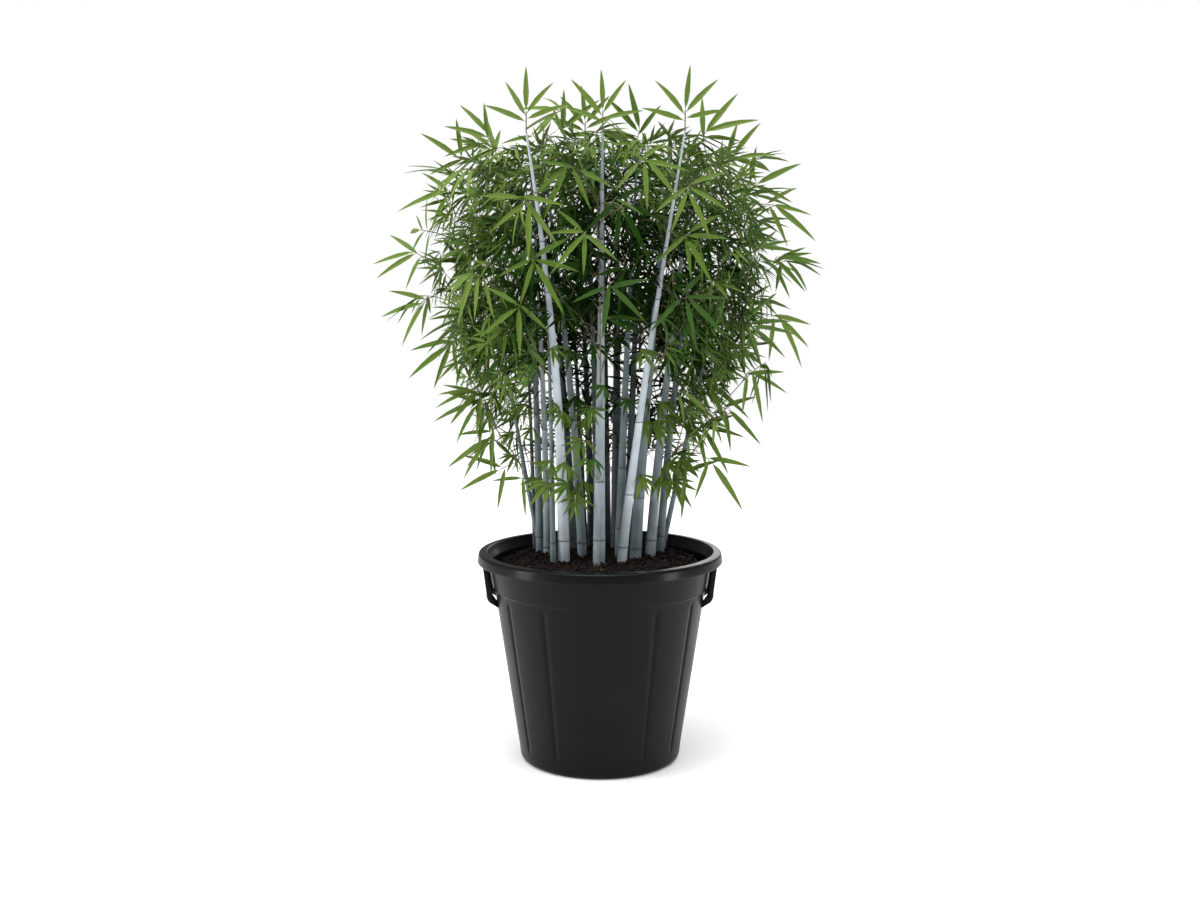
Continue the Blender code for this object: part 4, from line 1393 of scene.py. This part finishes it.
def model_blade(rows):
    """One blade, along X from 0 to 1 and one wide: a grid narrowed row by row, folded and closed below."""
    last = len(rows) - 1
    aside = 5.0  # the rows are lifted this far to be worked on, and set as far below once they are done
    blade = open_shape(bpy.ops.mesh.primitive_grid_add, x_subdivisions=last, y_subdivisions=2, size=1)
    bpy.ops.transform.translate(value=(0.5, 0, 0))
    for k in range(last, -1, -1):
        place, width, fold = rows[k]
        at = k / last
        select_points(blade, lambda p: abs(p.x - at) < 0.02 and abs(p.z) < 0.001)
        bpy.ops.transform.resize(value=(1, max(width, 0.001), 1), center_override=(0, 0, 0))
        bpy.ops.transform.translate(value=(place - at, 0, aside))
        select_points(blade, lambda p: p.z > aside - 1 and abs(p.y) > 0.01)
        bpy.ops.transform.translate(value=(0, 0, fold))
        select_points(blade, lambda p: p.z > aside - 1)
        bpy.ops.transform.translate(value=(0, 0, -2 * aside))
    bpy.ops.mesh.select_all(action="SELECT")
    bpy.ops.transform.translate(value=(0, 0, aside))
    bpy.ops.mesh.remove_doubles(threshold=0.005)
    bpy.ops.mesh.select_all(action="SELECT")
    bpy.ops.mesh.duplicate_move()
    mesh = bmesh.from_edit_mesh(blade.data)
    copied = [v for v in mesh.verts if v.select and abs(v.co.y) < 0.001 and 0.01 < v.co.x < 0.99]
    bpy.ops.mesh.flip_normals()
    bpy.ops.mesh.select_all(action="DESELECT")
    for point in copied:
        point.select = True
    mesh.select_flush(True)
    bmesh.update_edit_mesh(blade.data)
    bpy.ops.transform.translate(value=(0, 0, -blade_thickness))
    bpy.ops.mesh.select_all(action="SELECT")
    bpy.ops.mesh.remove_doubles(threshold=0.0005)
    bpy.ops.mesh.normals_make_consistent(inside=False)
    return take_shape(blade)


def fan_leaves(spray, rng):
    """One spray's leaves, as (root, heading, normal, length), by turns on both sides of the twig's end."""
    along = (spray.path[-1] - spray.path[-2]).normalized()
    level = spray.direction.cross(spray.facing).normalized()
    last = spray.leaves - 1
    spread = fan_spread * fan_shares.get(spray.kind, 1.0)
    leading = spray.kind in ("lead", "front")
    found = []
    for k in range(spray.leaves):
        place = (k - last / 2) * 2 / last
        angle = place * spread + rng.uniform(-1, 1) * (lead_turns if leading else leaf_turns)
        heading = spray.direction * math.cos(angle) + level * math.sin(angle)
        droop = leaf_droop if spray.kind in ("main", "fine") else 0.0
        heading -= Vector((0, 0, droop * (0.4 + abs(place)) * rng.uniform(*droop_range)))
        heading += spray.facing * rng.uniform(-leaf_tilt, leaf_tilt)
        heading.normalize()
        order = 2 * min(k, last - k) + (k * 2 > last)
        root = spray.path[-1] - along * (leaf_spacing * (last - order) * spray.length / spaced_leaf)
        normal = squared(spray.facing + level * rng.uniform(-leaf_roll, leaf_roll), heading)
        shorter = outer_shorter.get(spray.kind, 0.14)
        size = rng.uniform(*(lead_sizes if leading else leaf_sizes))
        found.append((root, heading, normal, spray.length * (1 - shorter * abs(place)) * size))
    return found


def hides_front_culm(point):
    """The tall culms in front are seen all the way up, so nothing much grows before them."""
    for name in front_culms:
        centre = canes[name].centre(point.z)
        if point.y < centre.y and abs(point.x - centre.x) < front_clear:
            return True
    return False


def room_for(root, heading, length, free):
    """The length that keeps a leaf within the crown and off the front culms, or nothing."""
    for share in leaf_cuts:
        tip = root + heading * (length * share)
        if free:
            if tip.z < crown_top + tip_rise:
                return length * share
            continue
        middle = root + heading * (length * share * 0.5)
        if inside_crown(tip) and not hides_front_culm(tip) and not hides_front_culm(middle):
            return length * share
    return None


def clear_of_culms(leaves):
    """True for each leaf whose midrib stands off every culm."""
    roots, headings, lengths = (np.array([leaf[i] for leaf in leaves]) for i in (0, 1, 3))
    free = np.ones(len(leaves), bool)
    for share in midrib_places:
        points = roots + headings * (lengths * share)[:, None]
        for cane in canes.values():
            line = np.array(cane.centres)
            x = np.interp(points[:, 2], line[:, 2], line[:, 0])
            y = np.interp(points[:, 2], line[:, 2], line[:, 1])
            thick = np.interp(points[:, 2], (cane.foot.z, cane.tip.z), (cane.radius, cane.tip_radius))
            near = np.hypot(points[:, 0] - x, points[:, 1] - y) < thick + leaf_clear
            free &= ~(near & (points[:, 2] < cane.tip.z))
    return free


# weights of the painted light and shade in the leaf tones: dark deep in the crown, light at its sides, top
# and foot, darker to the right
shade_depth, shade_top = 0.25, 0.02
outer_light, side_light, right_shade = 0.22, 0.84, 0.11
dark_level, high_light, low_light = 0.6, 1.9, 0.75
spray_difference = 0.18


def lightness(point, rng):
    """The painted light and shade of a spray's leaves: light at the crown's skin and dark deep inside it
    where shade falls, lighter at its sides, top and foot, and darker to the right.
    """
    depth = min(crown_reach(point.z) - from_axis(point), crown_top - shade_top - point.z)
    outer = 1 - min(max(depth, 0.0) / shade_depth, 1.0)
    rise = max((point.z - crown_foot) / (crown_top - crown_foot), 0.0)
    side = min(abs(point.x) / crown_radius, 1.0)
    level = max(high_light * (rise - dark_level), low_light * (dark_level - rise))
    placed = outer_light * outer + side_light * side + level - right_shade * point.x / crown_radius
    return placed + rng.uniform(-spray_difference, spray_difference)


# each tone, from painted shade to painted light: the lightness that it ends at, its colour and its sheen
leaf_tones = (
    ("leaf_shade", 0.22, (0.0050, 0.0160, 0.0015), 0.03),
    ("leaf_deep", 0.38, (0.014, 0.043, 0.004), 0.05),
    ("leaf_mid", 0.54, (0.038, 0.090, 0.015), 0.09),
    ("leaf_bright", 0.73, (0.086, 0.154, 0.021), 0.14),
    ("leaf_fresh", 9.00, (0.116, 0.186, 0.030), 0.15),
)
underside_tone = (0.078, 0.138, 0.030)


def make_leaf_material(name, colour, sheen, roughness):
    """Leaf skin of one plain green, with fine ribs along the blade and a waxy gloss between them."""
    made, tree, shader = new_material(name, roughness, sheen)
    set_inputs(shader, Base_Color=(*colour, 1.0))
    across = add_node(tree, "ShaderNodeUVMap", "blade", uv_map="blade")
    ribs = add_node(tree, "ShaderNodeTexWave", "ribs", bands_direction="Y")
    set_inputs(ribs, Scale=3.0, Distortion=0.4)
    tree.links.new(across.outputs["UV"], ribs.inputs["Vector"])
    gloss = add_range(tree, "gloss", ribs.outputs["Fac"], 0.0, 1.0, roughness - 0.06, roughness + 0.08)
    tree.links.new(gloss, shader.inputs["Roughness"])
    add_bump(tree, shader, ribs.outputs["Fac"], 0.0002, 0.3)
    return made


leaf_arches = (-0.05, 0.16)
arch_rise = 0.9
leaf_fall, fall_power = 0.10, 2.2


def lay_blades(leaves, blade):
    """Many blades of one shape, each bent, laid on its own place and toned with its spray."""
    points, faces = blade
    first, second, third = (points[faces[:, k]] for k in range(3))
    upper = np.cross(second - first, third - first)[:, 2] > 0
    roots, headings, normals = (np.array([leaf[i] for leaf in leaves]).reshape(-1, 3) for i in (0, 1, 2))
    lengths, tones, arches = (np.array([leaf[i] for leaf in leaves]) for i in (3, 4, 5))
    sides = np.cross(normals, headings)
    x, y, z = points.T
    along = headings[:, None, :] * (x[None, :, None] * lengths[:, None, None])
    width = (lengths * blade_width)[:, None, None]
    across = sides[:, None, :] * y[None, :, None] * width
    arched = (arches[:, None] * lengths[:, None]) * (arch_rise * x - x**2)[None, :]
    lift = z[None, :] * width[:, :, 0] + arched
    placed = roots[:, None, :] + along + across + normals[:, None, :] * lift[:, :, None]
    placed[:, :, 2] -= lengths[:, None] * leaf_fall * x[None, :] ** fall_power
    base = (np.arange(len(leaves)) * len(points))[:, None, None]
    # leaves in the two painted-shade tones are as dark below as above, so the painted shade holds on both
    # faces
    finishes = np.where(upper[None, :] | (tones[:, None] < 2), tones[:, None], len(leaf_tones))
    flat = np.tile(np.stack((x, y + 0.5), axis=1)[faces.ravel()], (len(leaves), 1))
    return placed.reshape(-1, 3), (faces[None] + base).reshape(-1, 3), finishes.ravel(), flat


def leafy_mesh(name, lots):
    """One piece of blades, from lots of leaves that each have their own blade shape."""
    shapes, flats = [], []
    for leaves, blade in lots:
        if leaves:
            *shape, flat = lay_blades(leaves, blade)
            shapes.append(shape)
            flats.append(flat)
    piece = joined_mesh(name, shapes)
    ribs = piece.data.uv_layers.new(name="blade")
    ribs.data.foreach_set("uv", np.concatenate(flats).astype(np.float32).ravel())
    return piece


leaf_rng = random.Random(crown_seed + 1)
blade_shapes = [model_blade(rows) for rows in (blade_rows, small_rows, broad_rows)]
shape_of = {"fine": 1, "inner": 1, "shoot": 2, "sprig": 2}
leaf_materials = [
    make_leaf_material(name, colour, sheen, 0.50) for name, _limit, colour, sheen in leaf_tones
]
leaf_materials.append(make_leaf_material("leaf_underside", underside_tone, 0.12, 0.62))
# painted light for each kind of spray: a lift to its lightness, darkest for the inner shoots behind the
# culms
painted_light_lift = {"fine": -0.06, "inner": -0.20, "shoot": 0.08, "front": 0.10, "top": 0.00, "lead": -0.02}
free_kinds = ("top", "sprig", "lead", "front", "shoot", "inner")
for part, members in crown_parts.items():
    leaves = []
    for bough in members:
        for spray in bough.sprays:
            light = lightness(spray.path[-1], leaf_rng) + painted_light_lift.get(spray.kind, 0.08)
            tone = next(k for k, row in enumerate(leaf_tones) if light < row[1])
            shape = shape_of.get(spray.kind, 0)
            for root, heading, normal, length in fan_leaves(spray, leaf_rng):
                arch = leaf_rng.uniform(*leaf_arches)
                length = room_for(root, heading, length, spray.kind in free_kinds)
                if length:
                    leaves.append((root, heading, normal, length, tone, arch, shape))
    clear = clear_of_culms(leaves)
    leaves = [leaf for leaf, kept in zip(leaves, clear) if kept]
    lots = [
        ([leaf for leaf in leaves if leaf[6] == shape], blade) for shape, blade in enumerate(blade_shapes)
    ]
    foliage = leafy_mesh(f"leaves_{part}", lots)
    shade(foliage, 25)
    finish_piece(foliage, leaf_materials, "foliage", *(bough.name for bough in members))


# ---------------------------------------------------------------- the stage
# A plain pale floor, an even white backdrop, and soft studio light: a broad lamp overhead, a key from the
# left, a weaker fill from the right, a strip over the front and a panel behind.

floor_size = 14.0
camera_place = (0, -2.8, 0.9706)
camera_fall = 6.79


def make_floor():
    floor = open_shape(bpy.ops.mesh.primitive_plane_add, size=floor_size)
    floor.name = "studio_floor"
    bpy.ops.mesh.subdivide(number_cuts=3)
    bpy.ops.object.mode_set(mode="OBJECT")
    made, tree, shader = new_material("pale_floor", 0.85)
    cloud = add_variation(tree, 1.5, 60.0, 0.3)
    colour = add_ramp(tree, "pale paper", cloud.outputs["Amount"], [
        (0.3, (0.86, 0.86, 0.86)), (0.7, (0.90, 0.90, 0.90)),
    ])
    tree.links.new(colour, shader.inputs["Base Color"])
    set_inputs(shader, Emission_Color=(1.0, 1.0, 1.0, 1.0), Emission_Strength=0.12)
    floor.data.materials.append(made)


def add_lamp(name, kind, towards, power):
    lamp = bpy.data.lights.new(name, kind)
    lamp.energy = power
    holder = place_object(name, lamp)
    holder.rotation_euler = towards.to_track_quat("-Z", "Y").to_euler()
    return holder


def add_softbox(name, place, target, size, power):
    holder = add_lamp(name, "AREA", Vector(target) - Vector(place), power)
    holder.location = place
    holder.data.shape = "RECTANGLE"
    holder.data.size, holder.data.size_y = size


def make_world(lit, seen):
    """White to the camera, and a weaker even light on the object."""
    world = bpy.data.worlds.new("white_studio")
    world.use_nodes = True
    tree = world.node_tree
    glow = tree.nodes["Background"]
    set_inputs(glow, Color=(1.0, 1.0, 1.0, 1.0))
    path = add_node(tree, "ShaderNodeLightPath", "seen or lit")
    strength = add_range(tree, "strength", path.outputs["Is Camera Ray"], 0.0, 1.0, lit, seen)
    tree.links.new(strength, glow.inputs["Strength"])
    bpy.context.scene.world = world


make_floor()
make_world(0.36, 1.0)
add_lamp("overhead", "SUN", Vector((0.04, 0.10, -1.0)), 3.15).data.angle = math.radians(60)
add_softbox("key", (-2.25, -0.80, 0.85), (0, 0, 0.5), (0.7, 1.4), 29)
add_softbox("fill", (2.00, -0.95, 0.45), (0, 0, 0.30), (0.5, 0.8), 13)
add_softbox("top strip", (-0.2, -0.7, 2.9), (0, -0.1, 0.4), (0.9, 0.3), 20)
add_softbox("back", (0.9, 2.6, 1.3), (0, 0, 0.7), (1.4, 1.0), 16)

camera = place_object("camera", bpy.data.cameras.new("camera"))
camera.location = camera_place
camera.rotation_euler = (math.radians(90 - camera_fall), 0, 0)
camera.data.lens = 41.58
camera.data.sensor_width = 36
bpy.context.scene.camera = camera
bpy.context.scene.view_settings.view_transform = "Standard"
